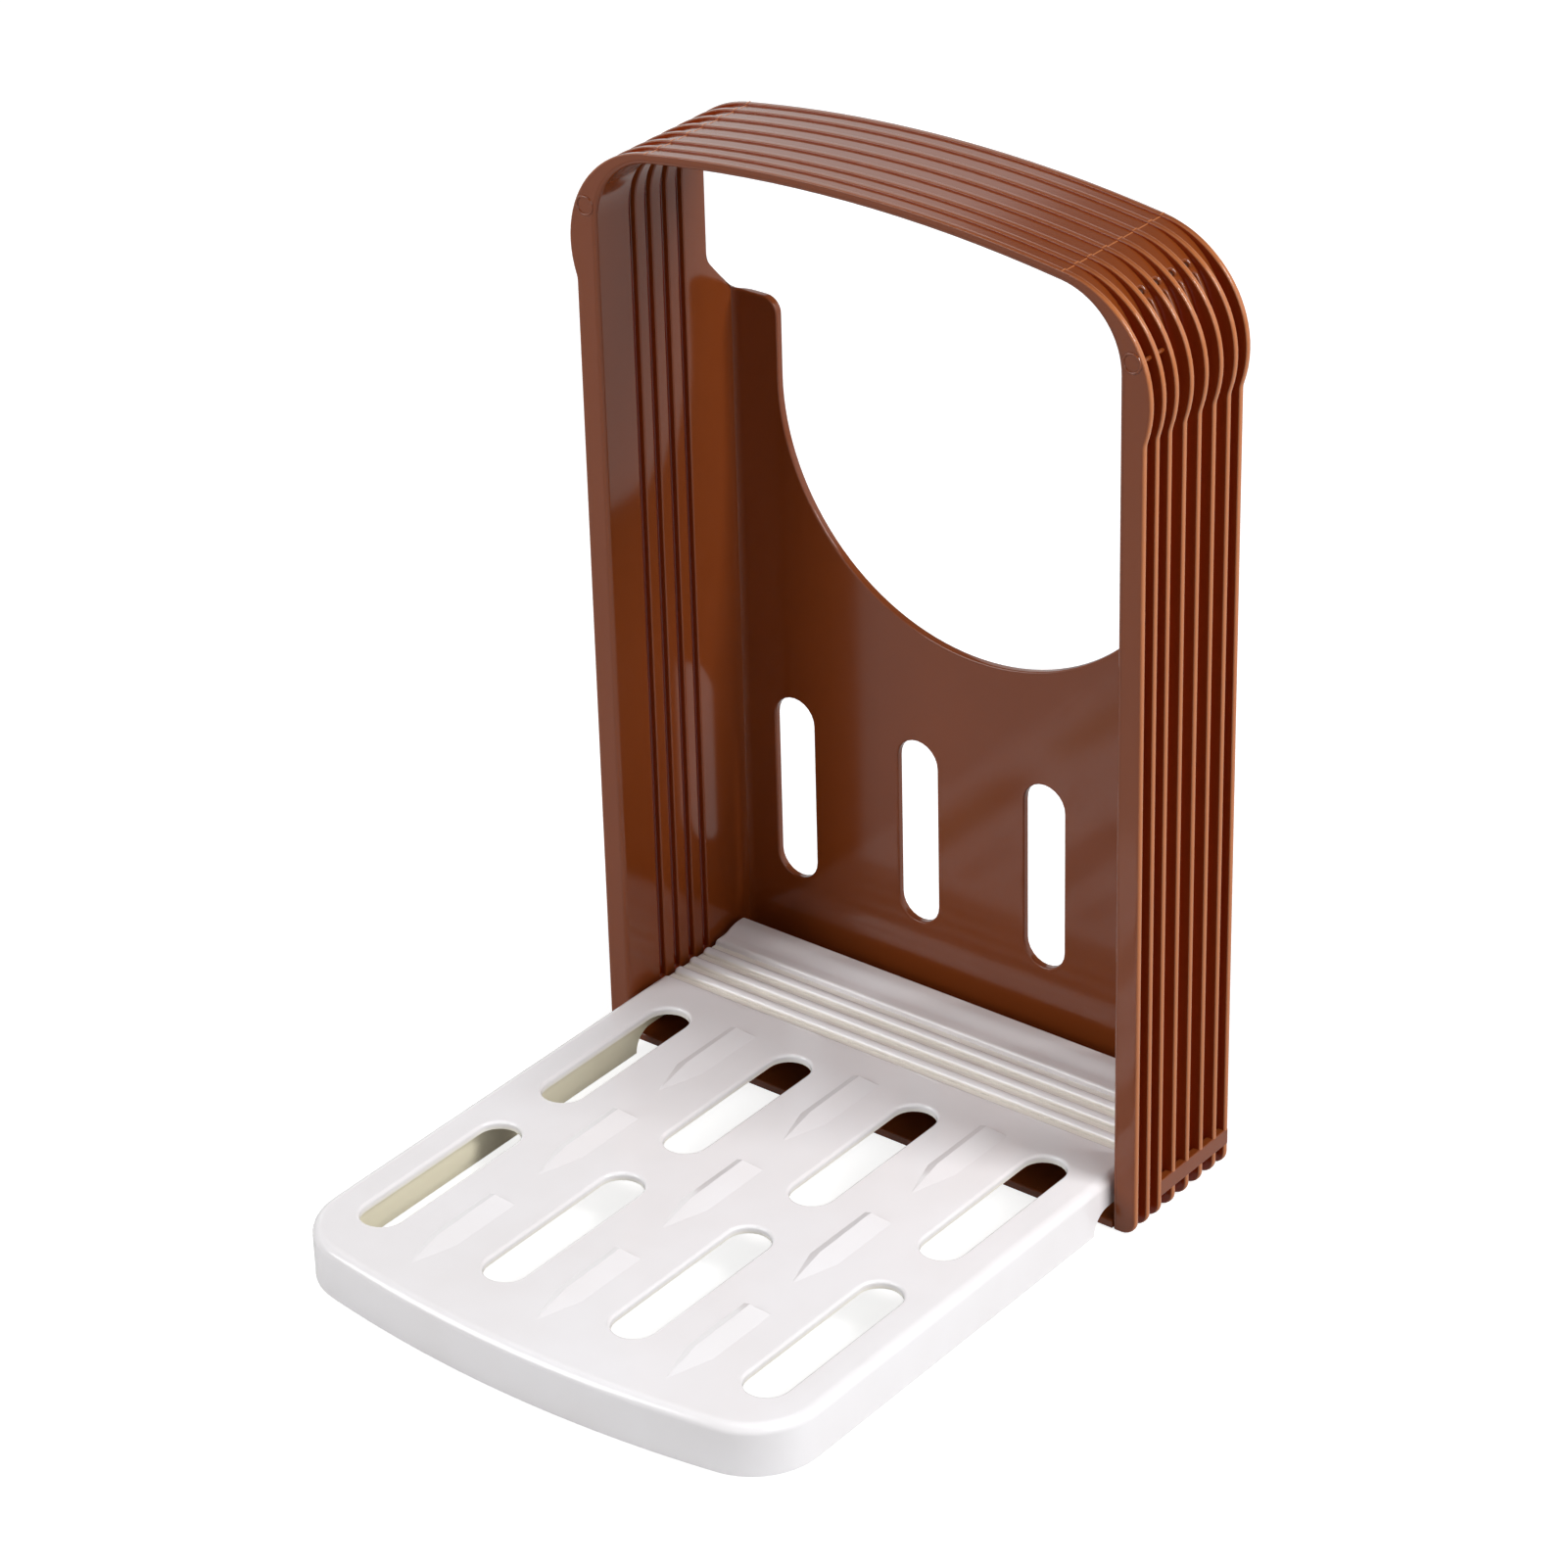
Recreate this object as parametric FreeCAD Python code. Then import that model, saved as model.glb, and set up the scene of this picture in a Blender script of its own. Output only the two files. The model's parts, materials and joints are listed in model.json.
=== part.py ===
"""Bread slicer guide: a finned arch with knife slits, and a slotted tray hinged at its foot.

Millimetres, +Z up, +Y from the front of the arch to its back plate. While it is modelled, Y = 0 is
the arch's front face. The finished pieces are moved so that the origin is at the middle of the
footprint, on the table.
"""
import FreeCAD, Part
import math
import os

V = FreeCAD.Vector

# Arch: sizes of the inner surface, and the wall round it
INNER_HALF_WIDTH = 71.25
CROWN_APEX = 236.3
CROWN_RADIUS = 370.0
CORNER_RADIUS = 18.0
WALL = 2.0
ARCH_DEPTH = 39.0
CROWN_PARTING_MARGIN = 15.45

# Fins: flat arches round the wall, from the front face to the back
FIN_THICKNESS = 1.5
PLAIN_PITCH = 4.7
GUIDE_PITCH = 5.6
FIN_LEG_HEIGHT = 4.35
FIN_CROWN_HEIGHT = 0.65
EAR_SWELL = 1.6
EAR_RADIUS = 26.0
EAR_FILLET = 5.5
FOOT_RADIUS = 3.5

# Knife slits through both walls, and the short hole above each
SLIT_WIDTH = 2.1
SLIT_TOP_ANGLE = 38.0
SLIT_HOLE_ANGLES = (42.0, 46.0)
POST_NAMES = ("front_post", "guide_post_1", "guide_post_2", "guide_post_3", "rear_post")

# Tie bar along the legs' outer edges
TIE_BAR_BOTTOM = 5.5
TIE_BAR_TOP = 9.8
TIE_BAR_THICKNESS = 2.0

# Back plate and the lower walls that reach back to it
BACK_GAP = 47.2
BACK_CORNER_INSIDE = 3.0
BACK_CORNER_OUTSIDE = 8.0
SHOULDER_HEIGHT = 182.0
SHOULDER_RADIUS = 4.0
SHOULDER_RUN_UP = 9.5
CUTOUT_SIDE_MARGIN = 13.55
CUTOUT_CENTRE_HEIGHT = 162.3
BACK_SLOT_WIDTH = 11.65
BACK_SLOT_BOTTOM = 28.0
BACK_SLOT_TOP = 77.6
FLOOR_THICKNESS = 2.0

# Slots stand in columns at the same places in the back plate and in the tray
COLUMN_SIDE_MARGIN = 15.75
COLUMNS = 4

# Tray
TRAY_SIDE_GAP = 1.25
TRAY_REACH = 131.0
TRAY_FRONT_RADIUS = 315.0
TRAY_FRONT_CORNER = 17.5
TRAY_REAR_CORNER = 6.0
TRAY_EDGE_RADIUS = 2.4
TRAY_SKIN = 2.0
TRAY_SIDE_WALL = 4.8
DECK_HEIGHT = 13.0
TRAY_SLOT_WIDTH = 11.0
TRAY_SLOT_REAR_ENDS = (0.4, -62.1)
TRAY_SLOT_LENGTHS = (49.4, 50.9)
TRAY_SLOT_RIM = 0.8
RELIEF_HEIGHT = 5.5

# Small wedges on the deck, one column between each two columns of slots
WEDGE_LENGTH = 32.4
WEDGE_POINT_LENGTH = 11.9
WEDGE_WIDTH = 7.8
WEDGE_RISE = 1.2
WEDGE_REAR_END = 1.2
WEDGE_PITCH = 44.3
WEDGE_ROWS = 3

# Hinge end of the tray: a groove under each slit, then a ledge with a raised lip
GROOVE_WIDTH = 2.8
GROOVE_DEPTH = 1.6
DECK_END_MARGIN = 1.9
RIDGE_END_GAP = 2.0
LIP_RISE = 1.3
LIP_WIDTH = 4.0

# Hinge
HEEL_RADIUS = 4.3
HEEL_FLOOR_GAP = 0.7
HEEL_BACK_GAP = 0.7
PIN_RADIUS = 2.0
PIN_CLEARANCE = 0.05
PIN_END_GAP = 0.25
PIN_SHOULDER_RADIUS = 3.2

OVERLAP = 1.0
BEYOND = 200.0

# Worked out from the values above
arch_centre_z = CROWN_APEX - CROWN_RADIUS
fin_leg_half = INNER_HALF_WIDTH + WALL + FIN_LEG_HEIGHT
ear_half_width = fin_leg_half + EAR_SWELL
fin_steps = [PLAIN_PITCH] * 2 + [GUIDE_PITCH] * 4 + [PLAIN_PITCH]
fin_centres = [FIN_THICKNESS / 2 + sum(fin_steps[:i]) for i in range(len(fin_steps) + 1)]
guide_fins = fin_centres[2:7]
slit_centres = [(a + b) / 2 for a, b in zip(guide_fins, guide_fins[1:])]
frame_depth = BACK_GAP + WALL
turn_x = INNER_HALF_WIDTH + WALL - BACK_CORNER_OUTSIDE
turn_y = frame_depth - BACK_CORNER_OUTSIDE
crown_half_width = INNER_HALF_WIDTH - CROWN_PARTING_MARGIN
cutout_half_width = INNER_HALF_WIDTH - CUTOUT_SIDE_MARGIN
column_pitch = 2 * (INNER_HALF_WIDTH - COLUMN_SIDE_MARGIN) / (COLUMNS - 1)
columns = [column_pitch * (i - (COLUMNS - 1) / 2) for i in range(COLUMNS)]
wedge_columns = [(a + b) / 2 for a, b in zip(columns, columns[1:])]
tray_half_width = INNER_HALF_WIDTH - TRAY_SIDE_GAP
lip_height = DECK_HEIGHT + LIP_RISE
hinge_z = FLOOR_THICKNESS + HEEL_FLOOR_GAP + HEEL_RADIUS
heel_swing = math.hypot(HEEL_RADIUS, lip_height - hinge_z)
hinge_y = BACK_GAP - HEEL_BACK_GAP - heel_swing
tray_rear = hinge_y + HEEL_RADIUS
groove_floor = DECK_HEIGHT - GROOVE_DEPTH
deck_underside = DECK_HEIGHT - TRAY_SKIN
deck_end = slit_centres[0] - DECK_END_MARGIN
origin_shift = V(0, (TRAY_REACH - frame_depth) / 2, 0)


def box(x0, x1, y0, y1, z0, z1):
    """A box between two corners."""
    return Part.makeBox(x1 - x0, y1 - y0, z1 - z0, V(x0, y0, z0))


def rod_x(radius, x0, x1, y, z):
    """A cylinder along X."""
    return Part.makeCylinder(radius, x1 - x0, V(x0, y, z), V(1, 0, 0))


def polygon_prism(points, step):
    """A prism: a closed polygon of points, swept by the vector step."""
    return Part.Face(Part.makePolygon(points + points[:1])).extrude(step)


def mirrored(shape):
    """The same shape on the other side of the middle plane."""
    return shape.mirror(V(0, 0, 0), V(1, 0, 0))


def merged(first, others):
    """One clean solid from several that overlap or meet."""
    return first.fuse(others).removeSplitter()


def bulge(half_width, apex, centre, corner, place):
    """Outline of a shallow arc with rounded shoulders, tangent to sides at +-half_width.

    apex is the arc's highest level and centre the level of its centre. place turns (across, level)
    into a point. Returns the edges from the right side to the left, and the shoulders' level.
    """
    radius = apex - centre
    shoulder_x = half_width - corner
    shoulder = centre + math.sqrt((radius - corner) ** 2 - shoulder_x ** 2)
    lean = math.atan2(shoulder - centre, shoulder_x)
    join = (radius * math.cos(lean), centre + radius * math.sin(lean))
    middle = (shoulder_x + corner * math.cos(lean / 2), shoulder + corner * math.sin(lean / 2))
    side = (half_width, shoulder)
    right = Part.Arc(place(*side), place(*middle), place(*join))
    top = Part.Arc(place(*join), place(0, apex), place(-join[0], join[1]))
    left = Part.Arc(place(-join[0], join[1]), place(-middle[0], middle[1]), place(-side[0], side[1]))
    return [right.toShape(), top.toShape(), left.toShape()], shoulder


def in_arch(across, level):
    """A point of the arch's outline, in its front face."""
    return V(across, 0, level)


def arch_outline(offset):
    """The arch's outline, offset outward from its inner surface, open at the feet."""
    half = INNER_HALF_WIDTH + offset
    edges, shoulder = bulge(half, CROWN_APEX + offset, arch_centre_z, CORNER_RADIUS + offset, in_arch)
    right = Part.makeLine(V(half, 0, 0), V(half, 0, shoulder))
    left = Part.makeLine(V(-half, 0, shoulder), V(-half, 0, 0))
    return [right] + edges + [left]


def on_circle(x, z, radius, angle):
    """A point of a circle in the arch's front face; angle is in radians, up from +X."""
    return V(x + radius * math.cos(angle), 0, z + radius * math.sin(angle))


def fin_side(shoulder):
    """A fin's right edge, from the inside of its foot up to the middle of its ear."""
    ear_x = ear_half_width - EAR_RADIUS
    fillet_x = fin_leg_half + EAR_FILLET
    run = fillet_x - ear_x
    fillet_z = shoulder - math.sqrt((EAR_RADIUS + EAR_FILLET) ** 2 - run ** 2)
    lean = math.atan2(shoulder - fillet_z, run)
    on_leg = V(fin_leg_half, 0, fillet_z)
    on_ear = on_circle(ear_x, shoulder, EAR_RADIUS, -lean)
    fillet_middle = on_circle(fillet_x, fillet_z, EAR_FILLET, math.pi - lean / 2)
    ear_middle = on_circle(ear_x, shoulder, EAR_RADIUS, -lean / 2)
    diagonal = FOOT_RADIUS * (1 - math.sqrt(0.5))
    foot_start = V(fin_leg_half - FOOT_RADIUS, 0, 0)
    foot_middle = V(fin_leg_half - diagonal, 0, diagonal)
    foot_end = V(fin_leg_half, 0, FOOT_RADIUS)
    return [
        Part.makeLine(V(INNER_HALF_WIDTH, 0, 0), foot_start),
        Part.Arc(foot_start, foot_middle, foot_end).toShape(),
        Part.makeLine(foot_end, on_leg),
        Part.Arc(on_leg, fillet_middle, on_ear).toShape(),
        Part.Arc(on_ear, ear_middle, V(ear_half_width, 0, shoulder)).toShape(),
    ]


def joined_face(edges):
    """A face inside a closed ring of edges given in any order."""
    return Part.Face(Part.Wire(Part.__sortEdges__(edges)))


def arch_wall():
    """The plain wall of the arch, without fins or slits."""
    feet = [Part.makeLine(V(side * INNER_HALF_WIDTH, 0, 0), V(side * (INNER_HALF_WIDTH + WALL), 0, 0))
            for side in (-1, 1)]
    ring = joined_face(arch_outline(0) + arch_outline(WALL) + feet)
    return ring.extrude(V(0, ARCH_DEPTH, 0))


def fin():
    """One fin at the front face, from the arch's inner surface out to the fin's edge."""
    top = CROWN_APEX + WALL + FIN_CROWN_HEIGHT
    edges, shoulder = bulge(ear_half_width, top, arch_centre_z, EAR_RADIUS, in_arch)
    right = fin_side(shoulder)
    left = [mirrored(edge) for edge in right]
    return joined_face(arch_outline(0) + edges + right + left).extrude(V(0, FIN_THICKNESS, 0))


def finned_arch():
    """The arch wall with all its fins."""
    plate = fin()
    fins = [plate.translated(V(0, centre - FIN_THICKNESS / 2, 0)) for centre in fin_centres]
    return merged(arch_wall(), fins)


def rounded_room(front, height):
    """The space between the walls from a level of Y back to the plate, with its rounded corners."""
    centre_x = INNER_HALF_WIDTH - BACK_CORNER_INSIDE
    centre_y = BACK_GAP - BACK_CORNER_INSIDE
    ahead = box(-INNER_HALF_WIDTH, INNER_HALF_WIDTH, front, centre_y, 0, height)
    behind = box(-centre_x, centre_x, centre_y, BACK_GAP, 0, height)
    corners = [Part.makeCylinder(BACK_CORNER_INSIDE, height, V(side * centre_x, centre_y, 0))
               for side in (-1, 1)]
    return merged(ahead, [behind] + corners)


def rear_wall():
    """The lower right wall behind the arch, with the corner that turns to the back plate."""
    outside = INNER_HALF_WIDTH + WALL
    height = SHOULDER_HEIGHT + SHOULDER_RUN_UP
    side = box(turn_x, outside, ARCH_DEPTH - OVERLAP, turn_y, 0, height)
    corner = Part.makeCylinder(BACK_CORNER_OUTSIDE, height, V(turn_x, turn_y, 0), V(0, 0, 1), 90)
    wall = merged(side, [corner]).cut(rounded_room(ARCH_DEPTH - 2 * OVERLAP, height))
    slope = [
        V(turn_x - OVERLAP, ARCH_DEPTH, height),
        V(turn_x - OVERLAP, BACK_GAP, SHOULDER_HEIGHT),
        V(turn_x - OVERLAP, frame_depth + OVERLAP, SHOULDER_HEIGHT),
        V(turn_x - OVERLAP, frame_depth + OVERLAP, height + OVERLAP),
        V(turn_x - OVERLAP, ARCH_DEPTH, height + OVERLAP),
    ]
    return wall.cut(polygon_prism(slope, V(outside - turn_x + 2 * OVERLAP, 0, 0)))


def corner_centre():
    """The centre of the arch's rounded right corner, in its front face."""
    shoulder = bulge(INNER_HALF_WIDTH, CROWN_APEX, arch_centre_z, CORNER_RADIUS, in_arch)[1]
    return V(INNER_HALF_WIDTH - CORNER_RADIUS, 0, shoulder)


def corner_ray(angle, reach):
    """The point on a ray from the right corner's centre that lies reach to the right of it."""
    centre = corner_centre()
    angle = math.radians(angle)
    return on_circle(centre.x, centre.z, reach / math.cos(angle), angle)


def slit_cutters():
    """What the knife slits and the short holes above them take out of the right wall."""
    corner = corner_centre()
    reach = CORNER_RADIUS + WALL + OVERLAP
    foot = V(0, 0, TIE_BAR_TOP - corner.z)
    slit = [corner + foot, corner + foot + V(reach, 0, 0), corner_ray(SLIT_TOP_ANGLE, reach), corner]
    hole = [corner] + [corner_ray(angle, reach) for angle in SLIT_HOLE_ANGLES]
    step = V(0, SLIT_WIDTH, 0)
    cutters = []
    for centre in slit_centres:
        place = V(0, centre - SLIT_WIDTH / 2, 0)
        cutters += [polygon_prism(slit, step).translated(place), polygon_prism(hole, step).translated(place)]
    return cutters


def tie_bar():
    """The bar that joins the legs of the guide fins near the right foot."""
    return box(fin_leg_half - TIE_BAR_THICKNESS, fin_leg_half, guide_fins[0],
               fin_centres[-1] + FIN_THICKNESS / 2, TIE_BAR_BOTTOM, TIE_BAR_TOP)


def pivot_hole():
    """The hole in the right wall that holds the tray's pin."""
    return rod_x(PIN_RADIUS + PIN_CLEARANCE, INNER_HALF_WIDTH - OVERLAP, INNER_HALF_WIDTH + WALL,
                 hinge_y, hinge_z)


def right_side(arch):
    """Everything of the arch moulding on the right of the crown."""
    side = arch.common(box(crown_half_width, BEYOND, -OVERLAP, BEYOND, -OVERLAP, 2 * BEYOND))
    return merged(side, [rear_wall(), tie_bar()]).cut(slit_cutters() + [pivot_hole()])


def side_sections(side):
    """The right side divided where the slits divide it: rail below, posts between, shoulder above."""
    corner = corner_centre()
    low = box(0, BEYOND, -OVERLAP, BEYOND, -OVERLAP, TIE_BAR_TOP)
    outline = [corner, corner_ray(SLIT_TOP_ANGLE, BEYOND), corner + V(BEYOND, 0, 2 * BEYOND),
               corner + V(0, 0, 2 * BEYOND)]
    high = polygon_prism(outline, V(0, 2 * BEYOND, 0)).translated(V(0, -OVERLAP, 0))
    posts = side.cut([low, high])
    bounds = [-OVERLAP] + slit_centres + [BEYOND]
    sections = {"foot_rail": side.common(low), "shoulder": side.common(high)}
    for name, y0, y1 in zip(POST_NAMES, bounds, bounds[1:]):
        sections[name] = posts.common(box(0, BEYOND, y0, y1, 0, 2 * BEYOND))
    return sections


def crown(arch):
    """The part of the arch between the two guide walls."""
    return arch.common(box(-crown_half_width, crown_half_width, -OVERLAP, BEYOND, -OVERLAP, 2 * BEYOND))


def upright_slot(x, width, bottom, top, y0, y1):
    """A round-ended slot through a plate that faces Y."""
    radius = width / 2
    low, high = bottom + radius, top - radius
    ends = [Part.makeCylinder(radius, y1 - y0, V(x, y0, z), V(0, 1, 0)) for z in (low, high)]
    return merged(box(x - radius, x + radius, y0, y1, low, high), ends)


def back_plate():
    """The plate behind the loaf, with its deep round cut-out and its slots."""
    y0, y1 = BACK_GAP - OVERLAP, frame_depth + OVERLAP
    plate = box(-turn_x, turn_x, BACK_GAP, frame_depth, 0, SHOULDER_HEIGHT)
    cutters = [
        Part.makeCylinder(cutout_half_width, y1 - y0, V(0, y0, CUTOUT_CENTRE_HEIGHT), V(0, 1, 0)),
        box(-cutout_half_width, cutout_half_width, y0, y1, CUTOUT_CENTRE_HEIGHT, SHOULDER_HEIGHT + OVERLAP),
    ]
    cutters += [upright_slot(x, BACK_SLOT_WIDTH, BACK_SLOT_BOTTOM, BACK_SLOT_TOP, y0, y1) for x in columns]
    plate = plate.cut(cutters)
    shoulders = [edge for edge in plate.Edges
                 if all(abs(abs(v.X) - cutout_half_width) < 0.01 and abs(v.Z - SHOULDER_HEIGHT) < 0.01
                        for v in edge.Vertexes)]
    return plate.makeFillet(SHOULDER_RADIUS, shoulders)


def floor_plate():
    """The thin plate between the feet."""
    return rounded_room(0, FLOOR_THICKNESS)


def tray_outline(inset):
    """The tray's plan, offset inward from its outer edge, as a face on the table."""
    half = tray_half_width - inset
    centre = TRAY_REACH - TRAY_FRONT_RADIUS

    def in_plan(across, forward):
        return V(across, -forward, 0)

    front, level = bulge(half, TRAY_REACH - inset, centre, TRAY_FRONT_CORNER - inset, in_plan)
    corner = TRAY_REAR_CORNER - inset
    rear = tray_rear - inset
    diagonal = corner * (1 - math.sqrt(0.5))
    right = [
        Part.makeLine(V(half, -level, 0), V(half, rear - corner, 0)),
        Part.Arc(V(half, rear - corner, 0), V(half - diagonal, rear - diagonal, 0),
                 V(half - corner, rear, 0)).toShape(),
    ]
    back = Part.makeLine(V(half - corner, rear, 0), V(corner - half, rear, 0))
    return joined_face(front + right + [mirrored(edge) for edge in right] + [back])


def flat_slot(x, width, rear_end, length, z0, z1):
    """The solid that fills a round-ended slot along Y."""
    radius = width / 2
    front, rear = rear_end - length + radius, rear_end - radius
    ends = [Part.makeCylinder(radius, z1 - z0, V(x, y, z0)) for y in (front, rear)]
    return merged(box(x - radius, x + radius, front, rear, z0, z1), ends)


def tray_slots():
    """What the slots take out of the deck."""
    return [flat_slot(x, TRAY_SLOT_WIDTH, rear, length, -OVERLAP, lip_height)
            for rear, length in zip(TRAY_SLOT_REAR_ENDS, TRAY_SLOT_LENGTHS) for x in columns]


def wedges():
    """The small pointed wedges, each rising from its tip to its rear end."""
    half = WEDGE_WIDTH / 2
    low = DECK_HEIGHT - TRAY_SKIN / 2
    shapes = []
    for row in range(WEDGE_ROWS):
        rear = WEDGE_REAR_END - row * WEDGE_PITCH
        tip = rear - WEDGE_LENGTH
        shoulder = tip + WEDGE_POINT_LENGTH
        side = [(tip, low), (rear, low), (rear, DECK_HEIGHT + WEDGE_RISE), (tip, DECK_HEIGHT)]
        plan = [(0, tip), (half, shoulder), (half, rear), (-half, rear), (-half, shoulder)]
        slope = polygon_prism([V(-half, y, z) for y, z in side], V(WEDGE_WIDTH, 0, 0))
        outline = polygon_prism([V(x, y, low) for x, y in plan], V(0, 0, DECK_HEIGHT))
        shapes += [slope.common(outline).translated(V(x, 0, 0)) for x in wedge_columns]
    return shapes


def tray_relief():
    """What is taken away under the tray, over the floor plate and round the heel."""
    half = tray_half_width + OVERLAP
    parts = [
        rod_x(RELIEF_HEIGHT, -half, half, 0, 0),
        box(-half, half, 0, hinge_y, -OVERLAP, RELIEF_HEIGHT),
        box(-half, half, hinge_y, tray_rear + OVERLAP, -OVERLAP, hinge_z),
    ]
    heel = rod_x(HEEL_RADIUS, -half, half, hinge_y, hinge_z)
    return merged(parts[0], parts[1:]).cut(heel)


def hinge_end_cutters():
    """The grooves under the slits, and the low margins beside the ridges and the ledge."""
    half = tray_half_width + OVERLAP
    top = lip_height + OVERLAP
    cutters = [box(-half, half, y - GROOVE_WIDTH / 2, y + GROOVE_WIDTH / 2, groove_floor, top)
               for y in slit_centres]
    for side in (-1, 1):
        edge, out = side * (tray_half_width - RIDGE_END_GAP), side * half
        cutters.append(box(min(edge, out), max(edge, out), deck_end, tray_rear + OVERLAP, groove_floor, top))
    return cutters


def tray_inside(height):
    """All the space inside the skirt, from the table up to a height."""
    half = tray_half_width - TRAY_SIDE_WALL
    space = tray_outline(TRAY_SKIN).extrude(V(0, 0, height))
    return space.common(box(-half, half, -BEYOND, BEYOND, 0, height))


def tray_blank():
    """The tray as one hollow moulding with its lip and wedges, before slots and grooves are cut."""
    body = tray_outline(0).extrude(V(0, 0, DECK_HEIGHT))
    rim = [edge for edge in body.Edges if all(abs(v.Z - DECK_HEIGHT) < 0.01 for v in edge.Vertexes)]
    body = body.makeFillet(TRAY_EDGE_RADIUS, rim)
    lip = tray_outline(0).extrude(V(0, 0, lip_height))
    lip = lip.common(box(-BEYOND, BEYOND, tray_rear - LIP_WIDTH, BEYOND, hinge_z, BEYOND))
    thick_from = deck_end - TRAY_SKIN
    thick_end = box(-BEYOND, BEYOND, thick_from, BEYOND, groove_floor - TRAY_SKIN, BEYOND)
    cavity = tray_inside(deck_underside).cut(thick_end)
    return merged(body, [lip] + wedges()).cut([cavity, tray_relief()] + hinge_end_cutters())


def tray_deck(blank):
    """The deck inside the skirt, with its slots, wedges, grooves and lip."""
    return soften_slots(blank.common(tray_inside(lip_height + OVERLAP)).cut(tray_slots()))


def tray_skirt(blank):
    """The rounded edge all round the tray, down to the table, and the heel round the hinge."""
    return blank.cut(tray_inside(lip_height + OVERLAP))


def soften_slots(body):
    """Round the deck's edges round every slot."""
    half_slot = TRAY_SLOT_WIDTH / 2

    def on_slot(edge):
        level = all(abs(v.Z - DECK_HEIGHT) < 0.01 for v in edge.Vertexes)
        beside = all(min(abs(v.X - x) for x in columns) < half_slot + 0.01 for v in edge.Vertexes)
        ahead = all(v.Y < TRAY_SLOT_REAR_ENDS[0] + 0.01 for v in edge.Vertexes)
        return level and beside and ahead

    return body.makeFillet(TRAY_SLOT_RIM, [edge for edge in body.Edges if on_slot(edge)])


def right_pivot_pin():
    """The stub pin on the tray's right cheek, with the shoulder that centres the tray."""
    outer = INNER_HALF_WIDTH + WALL - PIN_END_GAP
    shoulder = rod_x(PIN_SHOULDER_RADIUS, tray_half_width, INNER_HALF_WIDTH - PIN_END_GAP, hinge_y, hinge_z)
    return merged(rod_x(PIN_RADIUS, tray_half_width, outer, hinge_y, hinge_z), [shoulder])


def main():
    os.makedirs("parts", exist_ok=True)
    arch = finned_arch()
    blank = tray_blank()
    pairs = side_sections(right_side(arch))
    pairs["pivot_pin"] = right_pivot_pin()
    nodes = {
        "crown": crown(arch),
        "back_plate": back_plate(),
        "floor_plate": floor_plate(),
        "tray_deck": tray_deck(blank),
        "tray_skirt": tray_skirt(blank),
    }
    for name, shape in pairs.items():
        nodes["right_" + name] = shape
        nodes["left_" + name] = mirrored(shape)
    for name, shape in nodes.items():
        solids = shape.translated(origin_shift).Solids
        print(name, "solids:", len(solids), "volume:", round(shape.Volume, 1), "valid:", shape.isValid())
        piece = solids[0] if len(solids) == 1 else Part.makeCompound(solids)
        piece.exportStep(os.path.join("parts", name + ".step"))


main()
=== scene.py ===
"""Bread slicer guide: its looks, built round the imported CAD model.

The detailed pieces are made in millimetres in the moulds' own frame, where Y = 0 is the front face
of the arch, and are then put into the CAD model's frame in metres.
"""
import json
import math

import bmesh
import bpy
from mathutils import Matrix, Vector
from mathutils.geometry import delaunay_2d_cdt

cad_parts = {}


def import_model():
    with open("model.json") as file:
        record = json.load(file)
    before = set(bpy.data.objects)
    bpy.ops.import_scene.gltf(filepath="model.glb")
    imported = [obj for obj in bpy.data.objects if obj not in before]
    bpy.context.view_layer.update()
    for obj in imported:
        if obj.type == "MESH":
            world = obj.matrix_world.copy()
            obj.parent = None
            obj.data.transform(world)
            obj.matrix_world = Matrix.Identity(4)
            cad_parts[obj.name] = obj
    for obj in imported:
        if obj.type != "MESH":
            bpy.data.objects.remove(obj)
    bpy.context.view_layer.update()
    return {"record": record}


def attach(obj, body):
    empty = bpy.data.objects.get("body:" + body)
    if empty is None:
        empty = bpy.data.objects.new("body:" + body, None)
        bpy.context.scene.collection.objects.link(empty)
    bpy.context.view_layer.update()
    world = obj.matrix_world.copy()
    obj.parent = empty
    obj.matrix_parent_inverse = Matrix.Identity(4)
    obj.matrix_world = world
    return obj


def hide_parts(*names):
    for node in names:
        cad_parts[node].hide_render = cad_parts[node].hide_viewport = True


MM = 0.001

# Arch wall
INNER_HALF = 71.25
CROWN_APEX = 236.3
CROWN_RADIUS = 370.0
CORNER_RADIUS = 18.0
WALL = 2.0
ARCH_DEPTH = 39.0

# Fins
FIN_THICKNESS = 1.5
FIN_PITCHES = (4.7, 4.7, 5.6, 5.6, 5.6, 5.6, 4.7)
FIN_LEG_EDGE = 77.6
FIN_CROWN_HEIGHT = 0.45
EAR_HALF = 79.2
EAR_RADIUS = 26.0
EAR_FILLET = 5.5
FOOT_RADIUS = 3.5

# Knife slits
SLIT_WIDTH = 2.1
SLIT_BOTTOM = 9.8
SLIT_TOP_ANGLE = 38.0
SLIT_HOLE_ANGLES = (42.0, 46.0)
TIE_BAR = (5.5, 9.8)
TIE_BAR_DEPTH = 2.0

# Rear walls and back plate
BACK_GAP = 47.2
CORNER_INSIDE = 1.2
CORNER_OUTSIDE = 8.0
SHOULDER_Z = 182.0
SHOULDER_RADIUS = 4.0
SLOPE_START_Z = 191.5
SLOPE_BLEND = 5.0
CUTOUT_HALF = 57.7
CUTOUT_Z = 162.3
BACK_SLOT_WIDTH = 11.65
BACK_SLOT_ENDS = (28.0, 77.6)
FLOOR_THICKNESS = 2.0
COLUMNS = (-55.5, -18.5, 18.5, 55.5)

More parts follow.
